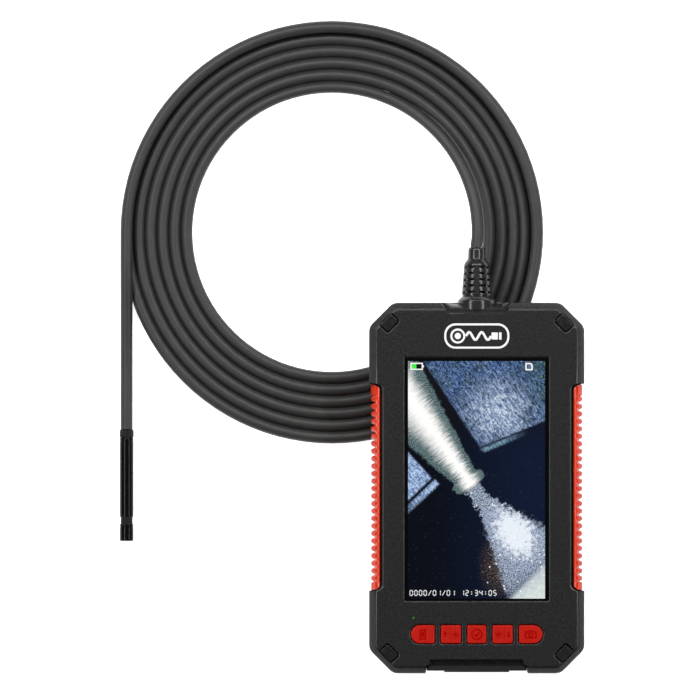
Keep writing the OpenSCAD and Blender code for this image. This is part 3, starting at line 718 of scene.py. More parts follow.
def lamp_circle():
    """A dome, repeated round the lens."""
    recipe = Recipe("lamp_circle")
    lamps, radius, size, centre = recipe.inputs(lamps=6, radius=0.0016, size=0.00045, centre=(0.0, 0.0, 0.0))
    dome = recipe.add("GeometryNodeMeshUVSphere", 16, 10, size)
    flat = recipe.add("GeometryNodeTransform", dome, None, None, (1.0, 1.0, 0.5))
    ring = recipe.add("GeometryNodeMeshCircle", lamps, radius)
    domes = recipe.add("GeometryNodeInstanceOnPoints", ring, None, flat)
    whole = recipe.add("GeometryNodeTransform", recipe.add("GeometryNodeRealizeInstances", domes),
                       centre, (math.pi / 2, 0.0, 0.0))
    return recipe.end(whole)


HEAD_GLASS = head_glass()
front_face = tip_start + TIP_L
glass_profile = [(0.7, -0.5), (2.28, -0.5), (2.28, -0.06), (2.22, 0.0), (0.95, 0.0), (0.9, 0.1), (0.7, 0.1)]
glass = soften(turned("camera_head_window", glass_profile, along_head(front_face - 0.4), -1), 0)
finished(glass, HEAD_GLASS, "handset", "lens", "lens_window")
lens_profile = [(0.05, 0.12), (0.3, 0.1), (0.5, 0.03), (0.65, -0.08), (0.69, -0.2), (0.69, -0.5), (0.05, -0.5)]
lens = soften(turned("camera_head_lens", lens_profile, along_head(front_face - 0.4), -1), 0)
finished(lens, HEAD_GLASS, "handset", "lens", "lens_barrel")
lamps = mesh_object("camera_head_lamps", [], [])
lamp_centre = Vector(along_head(front_face - 0.42)) * MM
grown(lamps, lamp_circle(), lamp_white(), centre=tuple(lamp_centre))
lamps = finished(soften(lamps, 0), lamps.data.materials[0], "handset", "lamp_white", "probe_leds")

# %% [markdown]
# ## Strain relief
# A moulded rubber sleeve keeps the lead from kinking where it leaves the handset. Slots down both sides let it bend.
# The sleeve is turned from a profile. One slot is repeated along it by a recipe, and the row is then cut out.

# %% Sleeve rubber
def sleeve_rubber():
    """Black moulded rubber, satin on the ribs, with a fine grain."""
    tree = Tree("sleeve_rubber")
    cloud = tree.noise(350, 3)
    grain = tree.noise(6000, 2)
    tree.put(tree.shader.inputs["Base Color"], tree.mix(cloud, (0.013, 0.013, 0.013), (0.022, 0.022, 0.022)))
    tree.put(tree.shader.inputs["Roughness"], tree.range(grain, 0.3, 0.7, 0.17, 0.25))
    tree.set(Specular_IOR_Level=0.4)
    return tree.bump(grain, 0.08, 0.00003).material


def slot_row():
    """A slot cutter, repeated along the sleeve on both sides of its middle."""
    recipe = Recipe("slot_row")
    slots, first, pitch, height = recipe.inputs(slots=5, first=0.0786, pitch=0.0025, height=0.018)
    bar = recipe.add("GeometryNodeMeshCylinder", 20, 2, 1, 0.00055, 0.024)
    start = recipe.add("ShaderNodeCombineXYZ", 0.0, first, height)
    step = recipe.add("ShaderNodeCombineXYZ", 0.0, pitch, 0.0)
    row = recipe.add("GeometryNodeMeshLine", slots, start, step, mode="OFFSET")
    return recipe.end(recipe.add("GeometryNodeInstanceOnPoints", row, None, bar))


# %% Sleeve
def core_of(sleeve_r):
    """What the slots leave: wide across, so no slot opens at the side, and low, so the slots are deep."""
    rings = [(radius - 0.3, y) for radius, y in sleeve_r]
    core = turned("slot_core", rings, (0, 0, 0))
    squeeze = Matrix.Diagonal((1, 1, 0.3, 1))
    return placed(core, Matrix.Translation((0, 0, LEAD_Z * MM)) @ squeeze)


def slot_cutters(side):
    """Slots with a round inner end: upright bars at the inner end, and slabs from there to the outside."""
    bars = grown(mesh_object("slot_ends", [], []), slot_row(), SLEEVE_RUBBER)
    placed(bars, Matrix.Translation((side * 1.3 * MM, 0, 0)))
    slabs = []
    for i in range(5):
        y = 78.6 + 2.5 * i
        edge = 6.0 - (y - 77.3) * 0.075 - 0.4
        outline = [(1.3, y - 0.5), (3.4, y - 0.52), (edge, y - 0.8), (edge, y + 0.05), (3.4, y + 0.48), (1.3, y + 0.5)]
        slabs.append(prism("slot", [(side * px, py) for px, py in outline], 6, 30))
    return cut(fused(bars, *slabs), core_of([(6.1, 76), (4.9, 92)]))


def strain_relief():
    profile = [(2.4, -7.6), (6.2, -7.6), (6.3, -5.5), (5.0, -5.4), (5.0, -3.1), (7.2, -3.1), (7.5, -2.8)]
    profile += [(7.5, 0.7), (7.35, 1.15), (6.1, 2.35), (5.75, 2.5), (5.6, 2.6), (5.6, 2.95), (6.02, 3.1), (5.98, 3.7)]
    profile += [(5.12, 14.9), (4.9, 15.9), (3.8, 17.2), (3.52, 17.8), (3.4, 21.0), (3.3, 21.6), (2.95, 22.1), (2.4, 22.3)]
    sleeve = turned("lead_strain_relief", profile, (0, HALF_L, LEAD_Z))
    cut(sleeve, slot_cutters(1), slot_cutters(-1))
    return soften(sleeve, 0.14, 2, 40)


SLEEVE_RUBBER = sleeve_rubber()
sleeve = finished(strain_relief(), SLEEVE_RUBBER, "handset", "relief", "strain_relief")
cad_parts["lead_entry"].data.materials.clear()
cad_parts["lead_entry"].data.materials.append(CABLE_SHEATH)

head_pieces = [collar, barrel, seal, tip, glass, lens, lamps, sleeve]
head_pieces += [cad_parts[name] for name in ("lead_entry", "image_sensor", "led_ring")]
print("the lead carries", len(head_pieces), "pieces")

# %% [markdown]
# ## Shells
# Both shells are injection mouldings with a fine spark-eroded texture. Each one is a loft: the handset's outline
# repeated at several heights, set in a little further at each, which gives a rounded shoulder and a bevelled rim.
# Openings are then cut with plain solids, and a small bevel rounds every edge that a mould would round.

# %% Shell plastic
def moulded_shell():
    """Charcoal plastic with a fine grain. The raised grains are polished a little by hands and shine more."""
    tree = Tree("moulded_shell")
    grain = tree.noise(2300, 4, 0.65)
    speckle = tree.range(tree.noise(1100, 3), 0.36, 0.64)
    cloud = tree.noise(60, 3)
    tone = tree.mix(speckle, (0.0055, 0.0056, 0.0060), (0.0205, 0.0205, 0.0210))
    tree.put(tree.shader.inputs["Base Color"], tree.mix(cloud, tone, (0.0125, 0.0125, 0.0130)))
    tree.put(tree.shader.inputs["Roughness"], tree.range(grain, 0.35, 0.65, 0.38, 0.27))
    tree.set(Specular_IOR_Level=0.40)
    return tree.bump(grain, 0.35, 0.00005).material


MOULDED_SHELL = moulded_shell()

# %% Sizes that the shells and the pieces in them share
RIM_W = 2.7
RIM_H = 2.6
WALL = 2.2
GRIP_Y = 0.3
GRIP_L = 82.2
GRIP_LOW = 12.6
GRIP_IN = 38.6
GRIP_OUT = 42.3
HEAD_LOW = 10.4
WINDOW_W = 57.6
WINDOW_L = 97.4
SCREEN_Y = 3.6
COVER_BACK = -70.8
KEY_Y = -58.5
KEY_L = 7.4
KEY_TOP = 30.7
# middle, width and round end of each key: -1 on the left, 1 on the right, 0 for none
KEYS = {
    "key_menu": (-21.6, 9.6, -1), "key_up": (-10.35, 8.2, 0), "key_ok": (0.0, 7.8, 0),
    "key_down": (10.35, 8.2, 0), "key_camera": (21.6, 9.6, 1),
}
POCKET_REACH = CORNER_CUT / 2 + 2.75
CORNERS = [(1, 1), (-1, 1), (-1, -1), (1, -1)]


def key_outline(x, width, side, grow):
    """A key seen from above. The two outer keys have a half-round outer end."""
    w, l = width / 2 + grow, KEY_L / 2 + grow
    near, far = 0.8 + grow, (KEY_L / 2 + grow if side else 0.8 + grow)
    right = far if side > 0 else near
    left = far if side < 0 else near
    points = arc(x + w - right, KEY_Y + l - right, right, 0, 90)
    points += arc(x - w + left, KEY_Y + l - left, left, 90, 180)
    points += arc(x - w + left, KEY_Y - l + left, left, 180, 270)
    return points + arc(x + w - right, KEY_Y - l + right, right, 270, 360)


def corner_matrix(sx, sy, z):
    """Place of a corner pocket: its own X axis points out through the corner cut."""
    place = Matrix.Translation(Vector((sx * (HALF_W - POCKET_REACH), sy * (HALF_L - POCKET_REACH), z)) * MM)
    return place @ Matrix.Rotation(math.atan2(sy, sx), 4, "Z")


def at_heights(name, *levels):
    """A solid through outlines, each given with its height."""
    return loft(name, [[(x, y, z) for x, y in outline] for outline, z in levels])


def box(x0, x1, y0, y1, z0, z1):
    return prism("box", [(x0, y0), (x1, y0), (x1, y1), (x0, y1)], z0, z1)


# %% What both shells have cut away
def grip_recess(side, inner, z0, z1, grow=0.0):
    """The channel that a grip lies in. Its upper and lower ends are rounded towards the face."""
    outer, wide, tall = 52.0, GRIP_OUT - inner + 0.5, 2.5
    top = GRIP_Y + GRIP_L / 2 + 0.35 + grow
    points = [(outer, top)]
    for i in range(9):
        turn = math.radians(90 * i / 8)
        points.append((inner + wide * (1 - math.sin(turn)), top - tall * (1 - math.cos(turn))))
    points += [(x, 2 * GRIP_Y - y) for x, y in reversed(points)]
    points = [(side * x, y) for x, y in points]
    return [(x, y, z0) for x, y in points], [(x, y, z1) for x, y in points]


def grip_channel(side):
    low, high = grip_recess(side, 38.45, 12.5, 26.9)
    groove, edge = grip_recess(side, 37.6, 27.0, FACE - 0.2, 0.3)
    return loft("channel", [low, high, groove, edge, grip_recess(side, 36.95, 0, FACE + 0.03, 0.8)[1]])


def grip_waist(side):
    """The rear shell steps in under a grip, so that nothing shows between the teeth."""
    return loft("waist", list(grip_recess(side, 40.7, -1, 12.6)))


def bay(inset, z0, z1, top=200):
    """The hollow inside, which leaves walls behind the grips and blocks at both ends."""
    hollow = prism("bay", handset_outline(inset), z0, z1)
    blocks = [box(-22.5, 22.5, -90, -67.6, 0, 40), box(-16, 16, 66.2, 90, 0, 40), box(-60, 60, top, 90, -1, 40)]
    blocks += [box(side * 48.4 - 12, side * 48.4 + 12, -43.6, 44.2, 0, 40) for side in (-1, 1)]
    return cut(hollow, *blocks)


def relief_seat():
    """Room for the strain relief: its bulb and its neck, a little larger."""
    seat = turned("seat", [(7.62, 0), (7.62, 9)], (0, 71, LEAD_Z), sides=48)
    neck = turned("neck", [(5.1, 0), (5.1, 8)], (0, 66, LEAD_Z), sides=48)
    return fused(seat, neck)


def upper_notch():
    """The notch above the strain relief: a steep wall, a narrow floor, and a long slope out to the end."""
    levels = []
    slope = [(73.9, 18.4), (73.4, 21.5), (72.8, 23.6), (72.0, 24.8), (71.2, 25.5), (70.7, 25.8), (70.2, 26.3)]
    for start, z in slope + [(69.75, FACE - 0.25), (69.4, FACE + 0.1)]:
        shrink = (FACE - z) * 0.12
        right = [(11.2 - shrink, start), (11.8 - shrink, start + 0.4), (16.6 - shrink, 76.5)]
        left = [(-x, y) for x, y in reversed(right)]
        levels.append((left + right, z))
    return at_heights("notch", *levels)


def end_step():
    """The lower end steps in between the corner guards, level with the port cover."""
    return prism("end_step", [(20.1, -73.0), (-20.1, -73.0), (-20.95, -76), (20.95, -76)], -1, 40)


def finger_scoop():
    """A slope above the port cover, for a fingertip. It runs from the face down to behind the cover."""
    levels = []
    for inner, z in ((-70.7, FACE - 2.6), (-69.1, FACE - 1.6), (-68.8, FACE - 0.9), (-68.5, FACE - 0.2), (-68.3, FACE + 0.1)):
        shrink = (FACE - z) * 0.25
        left = [(-19.9 + shrink, -73.5), (-18.6 + shrink, inner)]
        levels.append((left + [(-x, y) for x, y in reversed(left)], z))
    return at_heights("scoop", *levels)


def port_recess():
    outline = [(-20.1, -71.9), (-20.1, COVER_BACK), (20.1, COVER_BACK), (20.1, -71.9), (20.9, -76), (-20.9, -76)]
    return prism("recess", outline, 12.8, 40)


# %% Front shell
def front_shell():
    rings = [(0.3, PART), (0, PART + 0.3), (0, FACE - RIM_H - 0.45), (0.1, FACE - RIM_H - 0.1)]
    rings += [(0.42, FACE - RIM_H + 0.28), (RIM_W - 0.6, FACE - 0.62), (RIM_W - 0.35, FACE - 0.52)]
    rings += [(RIM_W - 0.08, FACE - 0.52), (RIM_W, FACE - 0.46), (RIM_W + 0.05, FACE - 0.2), (RIM_W + 0.6, FACE)]
    shell = at_heights("front_shell_moulding", *[(handset_outline(inset), z) for inset, z in rings])
    cutters = [bay(WALL, PART - 1, FACE - WALL), grip_channel(-1), grip_channel(1), port_recess(), relief_seat()]
    cutters.append(end_step())
    levels = [(0, 20), (0, FACE - 0.4), (0.5, FACE - 0.16), (1.4, FACE + 0.02)]
    cutters.append(at_heights("screen", *[
        (rounded_rectangle(WINDOW_W + grow, WINDOW_L + grow, 0.6 + grow / 2, cy=SCREEN_Y), z) for grow, z in levels
    ]))
    for x, width, side in KEYS.values():
        levels = [(0.2, 20), (0.2, FACE - 0.5), (0.42, FACE - 0.15), (0.88, FACE + 0.02)]
        cutters.append(at_heights("key", *[(key_outline(x, width, side, grow), z) for grow, z in levels]))
    for sx, sy in CORNERS:
        levels = [(4.9, 6.7, 1.2, 0), (5.2, 7.1, 1.3, 1.5), (5.4, 7.4, 1.5, 1.85), (6.3, 8.3, 1.9, 2.02)]
        outlines = [(rounded_rectangle(w, l, r, cx=-0.85), z) for w, l, r, z in levels]
        cutters.append(placed(at_heights("pocket", *outlines), corner_matrix(sx, sy, FACE - 2.0)))
    cutters.append(upper_notch())
    cutters.append(finger_scoop())
    cutters.append(prism("pipe", arc(-25.3, -51.9, 0.5, 0, 345, 23), 20, 40))
    for x, width, low, high in ((9, 9.4, 18.5, 21.9), (-8, 14.4, 19.9, 21.9)):
        cutters.append(box(x - width / 2, x + width / 2, COVER_BACK - 1, COVER_BACK + 3.4, low, high))
    cut(shell, *cutters)
    return soften(shell, 0.16)


front = finished(front_shell(), MOULDED_SHELL, "handset", "shell", "front_shell")

# %% Rear shell
SCREW_POINTS = [(32, 62), (-32, 62), (32, -65), (-32, -65)]


def bulge_outline(inset, top):
    """The lower part of the handset's outline, up to a straight upper edge with round corners."""
    lower = handset_outline(inset)[28:]
    w = HALF_W - inset
    return arc(w - 4, top - 4, 4, 0, 90, 6) + arc(-w + 4, top - 4, 4, 90, 180, 6) + lower


def case_screw_cutter(x, y):
    return fused(prism("seat", [(x + 3 * c, y + 3 * s) for c, s in arc(0, 0, 1, 0, 350, 35)], -1, 13.4),
                 prism("chamfer", [(x + 3.4 * c, y + 3.4 * s) for c, s in arc(0, 0, 1, 0, 350, 35)], -1, 0.3))


def rear_shell():
    rings = [(2.5, HEAD_LOW), (1.9, HEAD_LOW + 0.1), (1.5, HEAD_LOW + 0.4), (0.3, HEAD_LOW + 1.8), (0, HEAD_LOW + 2.3)]
    rings += [(0, PART - 0.3), (0.3, PART)]
    head = at_heights("rear_shell_moulding", *[(handset_outline(inset), z) for inset, z in rings])
    levels = [(4.7, 4.6, 0), (4.0, 5.3, 0.12), (3.5, 5.9, 0.5), (3.25, 6.5, 1.2), (0.75, 15.9, 11.6), (0.75, 16.2, 12.6)]
    bulge = at_heights("bulge", *[(bulge_outline(inset, top), z) for inset, top, z in levels])
    # four shallow grooves across the battery bulge keep fingers from slipping
    grooves = [box(-24, 24, y - 0.9, y + 0.9, -1, 0.7) for y in (-20, -13, -6, 1)]
    fused(head, bulge)
    lower_bay = cut(prism("lower_bay", bulge_outline(5.7, 3.4), WALL, 14), box(-30, 30, -90, -67.6, 0, 40))
    hollow = fused(bay(WALL, 12.6, PART + 1), lower_bay)
    bosses = [prism("boss", [(x + 3.9 * c, y + 3.9 * s) for c, s in arc(0, 0, 1, 0, 350, 35)], 1, 15.4)
              for x, y in SCREW_POINTS]
    cut(hollow, *bosses)
    cutters = [hollow, grip_channel(-1), grip_channel(1), grip_waist(-1), grip_waist(1), port_recess()]
    cutters += [relief_seat(), end_step(), *grooves]
    cutters += [case_screw_cutter(x, y) for x, y in SCREW_POINTS]
    cut(head, *cutters)
    return soften(head, 0.16)


rear = finished(rear_shell(), MOULDED_SHELL, "handset", "shell", "rear_shell")

# %% [markdown]
# ## Side grips
# A red rubber strip lies in each long side. Its outer edge is a row of round teeth, each with a steeper upper flank
# than its lower one. A plain strip is lofted along Y in many thin slices, and a recipe then moves its outer points
# in by a rule that repeats once for each tooth.

# %% Grip rubber
def grip_rubber():
    """Bright red rubber: satin, with a fine grain and slightly paler, worn high spots."""
    tree = Tree("grip_rubber")
    cloud = tree.noise(220, 3)
    grain = tree.noise(5200, 2)
    tree.put(tree.shader.inputs["Base Color"], tree.mix(cloud, (0.50, 0.020, 0.002), (0.60, 0.030, 0.004)))
    tree.put(tree.shader.inputs["Roughness"], tree.range(grain, 0.3, 0.7, 0.15, 0.21))
    tree.set(Specular_IOR_Level=0.30)
    return tree.bump(grain, 0.1, 0.00003).material


GRIP_RUBBER = grip_rubber()


# %% Grip teeth
def tooth_rule():
    """Move outer points in between two teeth: the depth follows how far along its tooth a point is."""
    recipe = Recipe("tooth_rule")
    first, pitch, last, depth, inner, reach = recipe.inputs(
        first=0.0, pitch=0.003, last=0.0, depth=0.00142, inner=0.04066, reach=0.00142
    )
    place = recipe.add("GeometryNodeInputPosition")
    split = recipe.tree.nodes.new("ShaderNodeSeparateXYZ")
    recipe.tree.links.new(place, split.inputs[0])
    x, y = split.outputs[0], split.outputs[1]
    along = recipe.math("DIVIDE", recipe.math("SUBTRACT", first, y), pitch)
    part = recipe.math("FRACT", along)
    # a flank that rises over the first quarter of a tooth, a blunt top, and a rounder flank back to a flat foot
    rise = recipe.math("SUBTRACT", 1.0, recipe.math("DIVIDE", part, 0.24), clamp=True)
    fall = recipe.math("DIVIDE", recipe.math("SUBTRACT", part, 0.60), 0.32, clamp=True)
    dip = recipe.math("ADD", recipe.math("POWER", rise, 1.4), recipe.math("POWER", fall, 1.8))
    inside = recipe.math("MULTIPLY", recipe.math("LESS_THAN", y, first), recipe.math("GREATER_THAN", y, last))
    side = recipe.math("SIGN", x)
    out = recipe.math("DIVIDE", recipe.math("SUBTRACT", recipe.math("ABSOLUTE", x), inner), reach, clamp=True)
    shift = recipe.math("MULTIPLY", recipe.math("MULTIPLY", dip, out), recipe.math("MULTIPLY", inside, depth))
    offset = recipe.add("ShaderNodeCombineXYZ", recipe.math("MULTIPLY", recipe.math("MULTIPLY", shift, side), -1.0))
    moved = recipe.add("GeometryNodeSetPosition", recipe.entry.outputs["Geometry"], None, None, offset)
    return recipe.end(moved)


TOOTH_PITCH = 2.99
TEETH = 25
TEETH_FROM = GRIP_Y + GRIP_L / 2 - 4.4
TEETH_TO = TEETH_FROM - TEETH * TOOTH_PITCH
SLICES = 14


def grip_slice(side, y):
    """The grip's section at one place. Near its ends the inner edge runs outwards in a quarter of an ellipse."""
    end = GRIP_L / 2 - abs(y - GRIP_Y)
    turn = math.sqrt(max(0.0, 1 - (1 - min(end / 2.2, 1)) ** 2))
    inner = GRIP_IN + 0.05 + 3.3 * (1 - turn)
    top = 28.2
    section = [(inner, GRIP_LOW + 0.3), (inner + 0.3, GRIP_LOW), (41.9, GRIP_LOW), (GRIP_OUT, GRIP_LOW + 0.4)]
    section += [(GRIP_OUT, 24.4), (GRIP_OUT - 0.1, 25.0), (GRIP_OUT - 0.45, 25.7)]
    section += [(max(40.75, inner + 0.35), 27.2), (max(40.4, inner + 0.3), top - 0.47), (max(39.1, inner + 0.2), top - 0.02)]
    section += [(max(38.95, inner + 0.1), top), (inner + 0.02, top - 0.25)]
    return [(side * x, y, z) for x, z in section]


def side_grip(side):
    low, high = GRIP_Y - GRIP_L / 2, GRIP_Y + GRIP_L / 2
    places = [low + 2.2 * (1 - math.cos(math.radians(90 * i / 8))) for i in range(9)]
    places += [TEETH_TO + (TEETH_FROM - TEETH_TO) * i / (TEETH * SLICES) for i in range(TEETH * SLICES + 1)]
    places += [high - 2.2 * (1 - math.cos(math.radians(90 * i / 8))) for i in range(8, -1, -1)]
    name = "right_side_grip" if side > 0 else "left_side_grip"
    strip = loft(name, [grip_slice(side, y) for y in places])
    grown(strip, tooth_rule(), GRIP_RUBBER, first=TEETH_FROM * MM, pitch=TOOTH_PITCH * MM, last=TEETH_TO * MM)
    return soften(strip, 0, angle=38)


left_grip = finished(side_grip(-1), GRIP_RUBBER, "handset", "grip", "grip_left")
right_grip = finished(side_grip(1), GRIP_RUBBER, "handset", "grip", "grip_right")

# %% Corner pads
def corner_pads():
    pads = []
    for sx, sy in CORNERS:
        shapes = [(4.3, 6.1, 0.7, 0), (4.3, 6.1, 0.7, 1.0), (4.0, 5.8, 0.6, 1.25), (3.5, 5.3, 0.5, 1.35)]
        levels = [(rounded_rectangle(w, l, r, cx=-0.75), z) for w, l, r, z in shapes]
        pads.append(placed(at_heights("pad", *levels), corner_matrix(sx, sy, FACE - 2.0)))
    return soften(joined("corner_guard_pads", *pads), 0)


def guard_pad():
    """Smooth, glossy black plastic under a faint haze."""
    tree = Tree("guard_pad")
    haze = tree.noise(500, 3)
    tree.put(tree.shader.inputs["Base Color"], tree.mix(haze, (0.009, 0.009, 0.009), (0.014, 0.014, 0.014)))
    tree.put(tree.shader.inputs["Roughness"], tree.range(haze, 0.3, 0.7, 0.22, 0.30))
    tree.set(Specular_IOR_Level=0.40)
    return tree.material


pads = finished(corner_pads(), guard_pad(), "handset", "pad", "corner_pads")

# %% [markdown]
# ## Keys
# Five rubber keys stand a little above the face. Each is one loft through its own outline: a flange that the front
# shell holds back, straight flanks, and a round edge at the top. Its symbol is moulded on top, so it is a low relief
# of the same rubber in a darker red. Each key rides on its own body, because each can be pressed on its own.

# %% Key rubber
def key_rubber(name, low, high, gloss):
    tree = Tree(name)
    cloud = tree.noise(260, 3)
    grain = tree.noise(4800, 2)
    tree.put(tree.shader.inputs["Base Color"], tree.mix(cloud, low, high))
    tree.put(tree.shader.inputs["Roughness"], tree.range(grain, 0.3, 0.7, 0.30, 0.40))
    tree.set(Specular_IOR_Level=gloss)
    return tree.bump(grain, 0.08, 0.00003).material


KEY_RED = key_rubber("key_red", (0.36, 0.007, 0.003), (0.42, 0.011, 0.005), 0.16)
KEY_SYMBOL = key_rubber("key_symbol_red", (0.27, 0.001, 0.0005), (0.31, 0.002, 0.0008), 0.01)


# %% Strokes for the symbols
def stroke(points, width, z0, z1, closed=False):
    """A line of even width as one solid, with mitred corners."""
    count = len(points)
    ring = []
    for i, (x, y) in enumerate(points):
        before = Vector(points[i - 1]) if i or closed else None
        after = Vector(points[(i + 1) % count]) if i < count - 1 or closed else None
        here = Vector((x, y))
        arriving = (here - before).normalized() if before else (after - here).normalized()
        leaving = (after - here).normalized() if after else arriving
        mean = (arriving + leaving).normalized()
        reach = width / 2 / max(mean.dot(leaving), 0.4)
        side = Vector((-mean.y, mean.x)) * reach
        ring.append([(x + side.x, y + side.y), (x - side.x, y - side.y)])
    corners = [(*left, z0) for left, right in ring] + [(*right, z0) for left, right in ring]
    corners += [(*left, z1) for left, right in ring] + [(*right, z1) for left, right in ring]
    faces = []
    for i in range(count if closed else count - 1):
        k = (i + 1) % count
        faces.append((i, k, count + k, count + i))
        faces.append((2 * count + i, 2 * count + k, 3 * count + k, 3 * count + i))
        faces.append((i, k, 2 * count + k, 2 * count + i))
        faces.append((count + i, count + k, 3 * count + k, 3 * count + i))
    if not closed:
        faces += [(k, count + k, 3 * count + k, 2 * count + k) for k in (0, count - 1)]
    return [outward(mesh_object("stroke", corners, faces))]


def closed_stroke(points, width, z0, z1):
    return stroke(points, width, z0, z1, closed=True)


def sun(x, y, size):
    """A disc with eight rays."""
    parts = [prism("disc", arc(x, y, size * 0.42, 0, 336, 14), *RELIEF)]
    for i in range(8):
        turn = math.radians(45 * i)
        near = (x + 0.62 * size * math.cos(turn), y + 0.62 * size * math.sin(turn))
        far = (x + size * math.cos(turn), y + size * math.sin(turn))
        parts += stroke([near, far], 0.26, *RELIEF)
    return parts


def arrow(x, y, way):
    head = [(x - 0.9, y + way * 0.1), (x + 0.9, y + way * 0.1), (x, y + way * 1.3)]
    return [prism("arrow", head, *RELIEF)] + stroke([(x, y - way * 1.2), (x, y + way * 0.1)], 0.5, *RELIEF)


# %% Symbols
RELIEF = (KEY_TOP - 0.05, KEY_TOP + 0.09)


def menu_symbol(x):
    page = [(x - 1.0, KEY_Y - 1.8), (x + 1.0, KEY_Y - 1.8), (x + 1.0, KEY_Y + 1.8), (x - 1.0, KEY_Y + 1.8)]
    parts = closed_stroke(page, 0.55, *RELIEF)
    return parts + stroke([(x, KEY_Y - 1.0), (x, KEY_Y + 1.0)], 0.95, *RELIEF)


def up_symbol(x):
    return arrow(x - 2.3, KEY_Y, 1) + stroke([(x - 0.4, KEY_Y - 1.6), (x - 0.4, KEY_Y + 1.6)], 0.2, *RELIEF) \
        + sun(x + 1.8, KEY_Y, 1.5)


def down_symbol(x):
    return sun(x - 1.8, KEY_Y, 1.5) + stroke([(x + 0.6, KEY_Y - 1.6), (x + 0.6, KEY_Y + 1.6)], 0.2, *RELIEF) \
        + arrow(x + 2.4, KEY_Y, -1)


def tick_symbol(x):
    ring = arc(x, KEY_Y, 2.0, 0, 345, 23)
    return closed_stroke(ring, 0.5, *RELIEF) + stroke(
        [(x - 1.0, KEY_Y + 0.05), (x - 0.25, KEY_Y - 0.8), (x + 1.05, KEY_Y + 0.8)], 0.6, *RELIEF)


def camera_symbol(x):
    case = [(x - 2.1, KEY_Y - 1.4), (x + 2.1, KEY_Y - 1.4), (x + 2.1, KEY_Y + 1.0), (x + 1.0, KEY_Y + 1.0)]
    case += [(x + 0.6, KEY_Y + 1.5), (x - 0.6, KEY_Y + 1.5), (x - 1.0, KEY_Y + 1.0), (x - 2.1, KEY_Y + 1.0)]
    return closed_stroke(case, 0.48, *RELIEF) + closed_stroke(arc(x, KEY_Y - 0.2, 0.8, 0, 330, 11), 0.48, *RELIEF)


SYMBOLS = {
    "key_menu": menu_symbol, "key_up": up_symbol, "key_ok": tick_symbol, "key_down": down_symbol,
    "key_camera": camera_symbol,
}


# %% Keys
def key(name, x, width, side):
    levels = [(0.78, 26.72), (0.78, 27.68), (0.0, 27.7), (0.0, KEY_TOP - 0.55), (-0.08, KEY_TOP - 0.3)]
    levels += [(-0.25, KEY_TOP - 0.1), (-0.5, KEY_TOP)]
    body = at_heights(name + "_cap", *[(key_outline(x, width, side, grow), z) for grow, z in levels])
    finished(soften(body, 0), KEY_RED, name, "key", name)
    symbol = soften(joined(name + "_symbol", *SYMBOLS[name](x)), 0)
    finished(symbol, KEY_SYMBOL, name, "key")


for key_name, (key_x, key_width, round_side) in KEYS.items():
    key(key_name, key_x, key_width, round_side)

# %% [markdown]
# ## Screen
# Under a hard, glossy window lies a colour display. It shows the view down a pipe: a bright tube runs in from the
# upper left, ends in a collar, and sprays light over glittering dirt. Nothing here is an image. The picture is drawn
# by a material out of straight edges, widths that change along the tube, and noise, all in millimetres on the glass.

# %% Picture on the screen
PICTURE_X = -0.1
PICTURE_Y = 3.3
PICTURE_W = 54.8
PICTURE_L = 95.0
MUZZLE = (-2.5, -1.2)
ALONG = (0.571, -0.821)
ACROSS = (0.821, 0.571)


class Picture(Tree):
    """A tree whose patterns are drawn in millimetres from the middle of the screen."""

    def __init__(self, name):
        super().__init__(name)
        scale = self.nodes.new("ShaderNodeMapping")
        scale.inputs["Location"].default_value = (-PICTURE_X, -PICTURE_Y, 0)
        scale.inputs["Scale"].default_value = (1 / MM, 1 / MM, 0)
        self.put(scale.inputs["Vector"], self.place)
        self.place = scale.outputs[0]
        self.x, self.y, _ = self.coordinates()

    def line(self, nx, ny, px, py, soft=0.4, wobble=None):
        """1 on the side of a straight edge that (nx, ny) points to, 0 on the other."""
        distance = self.math("ADD", self.math("MULTIPLY", self.x, nx), self.math("MULTIPLY", self.y, ny))
        if wobble is not None:
            distance = self.math("ADD", distance, wobble)
        start = nx * px + ny * py
        return self.range(distance, start - soft, start + soft)

    def both(self, *parts):
        result = parts[0]
        for part in parts[1:]:
            result = self.math("MULTIPLY", result, part)
        return result

    def dots(self, scale, size):
        """Small round sparks."""
        cells = self.nodes.new("ShaderNodeTexVoronoi")
        cells.inputs["Scale"].default_value = scale
        self.put(cells.inputs["Vector"], self.place)
        return self.range(cells.outputs["Distance"], size * 0.4, size, 1, 0)

    def stretched(self, along, across):
        """Coordinates that are squeezed along and across the tube, for streaks."""
        node = self.nodes.new("ShaderNodeCombineXYZ")
        self.put(node.inputs[0], self.math("MULTIPLY", self.s, along))
        self.put(node.inputs[1], self.math("MULTIPLY", self.t, across))
        return node.outputs[0]


def tube_frame(picture):
    """Two more coordinates: s runs down the tube from its collar, t goes across it."""
    dx = picture.math("SUBTRACT", picture.x, MUZZLE[0])
    dy = picture.math("SUBTRACT", picture.y, MUZZLE[1])
    picture.s = picture.math("ADD", picture.math("MULTIPLY", dx, ALONG[0]), picture.math("MULTIPLY", dy, ALONG[1]))
    picture.t = picture.math("ADD", picture.math("MULTIPLY", dx, ACROSS[0]), picture.math("MULTIPLY", dy, ACROSS[1]))


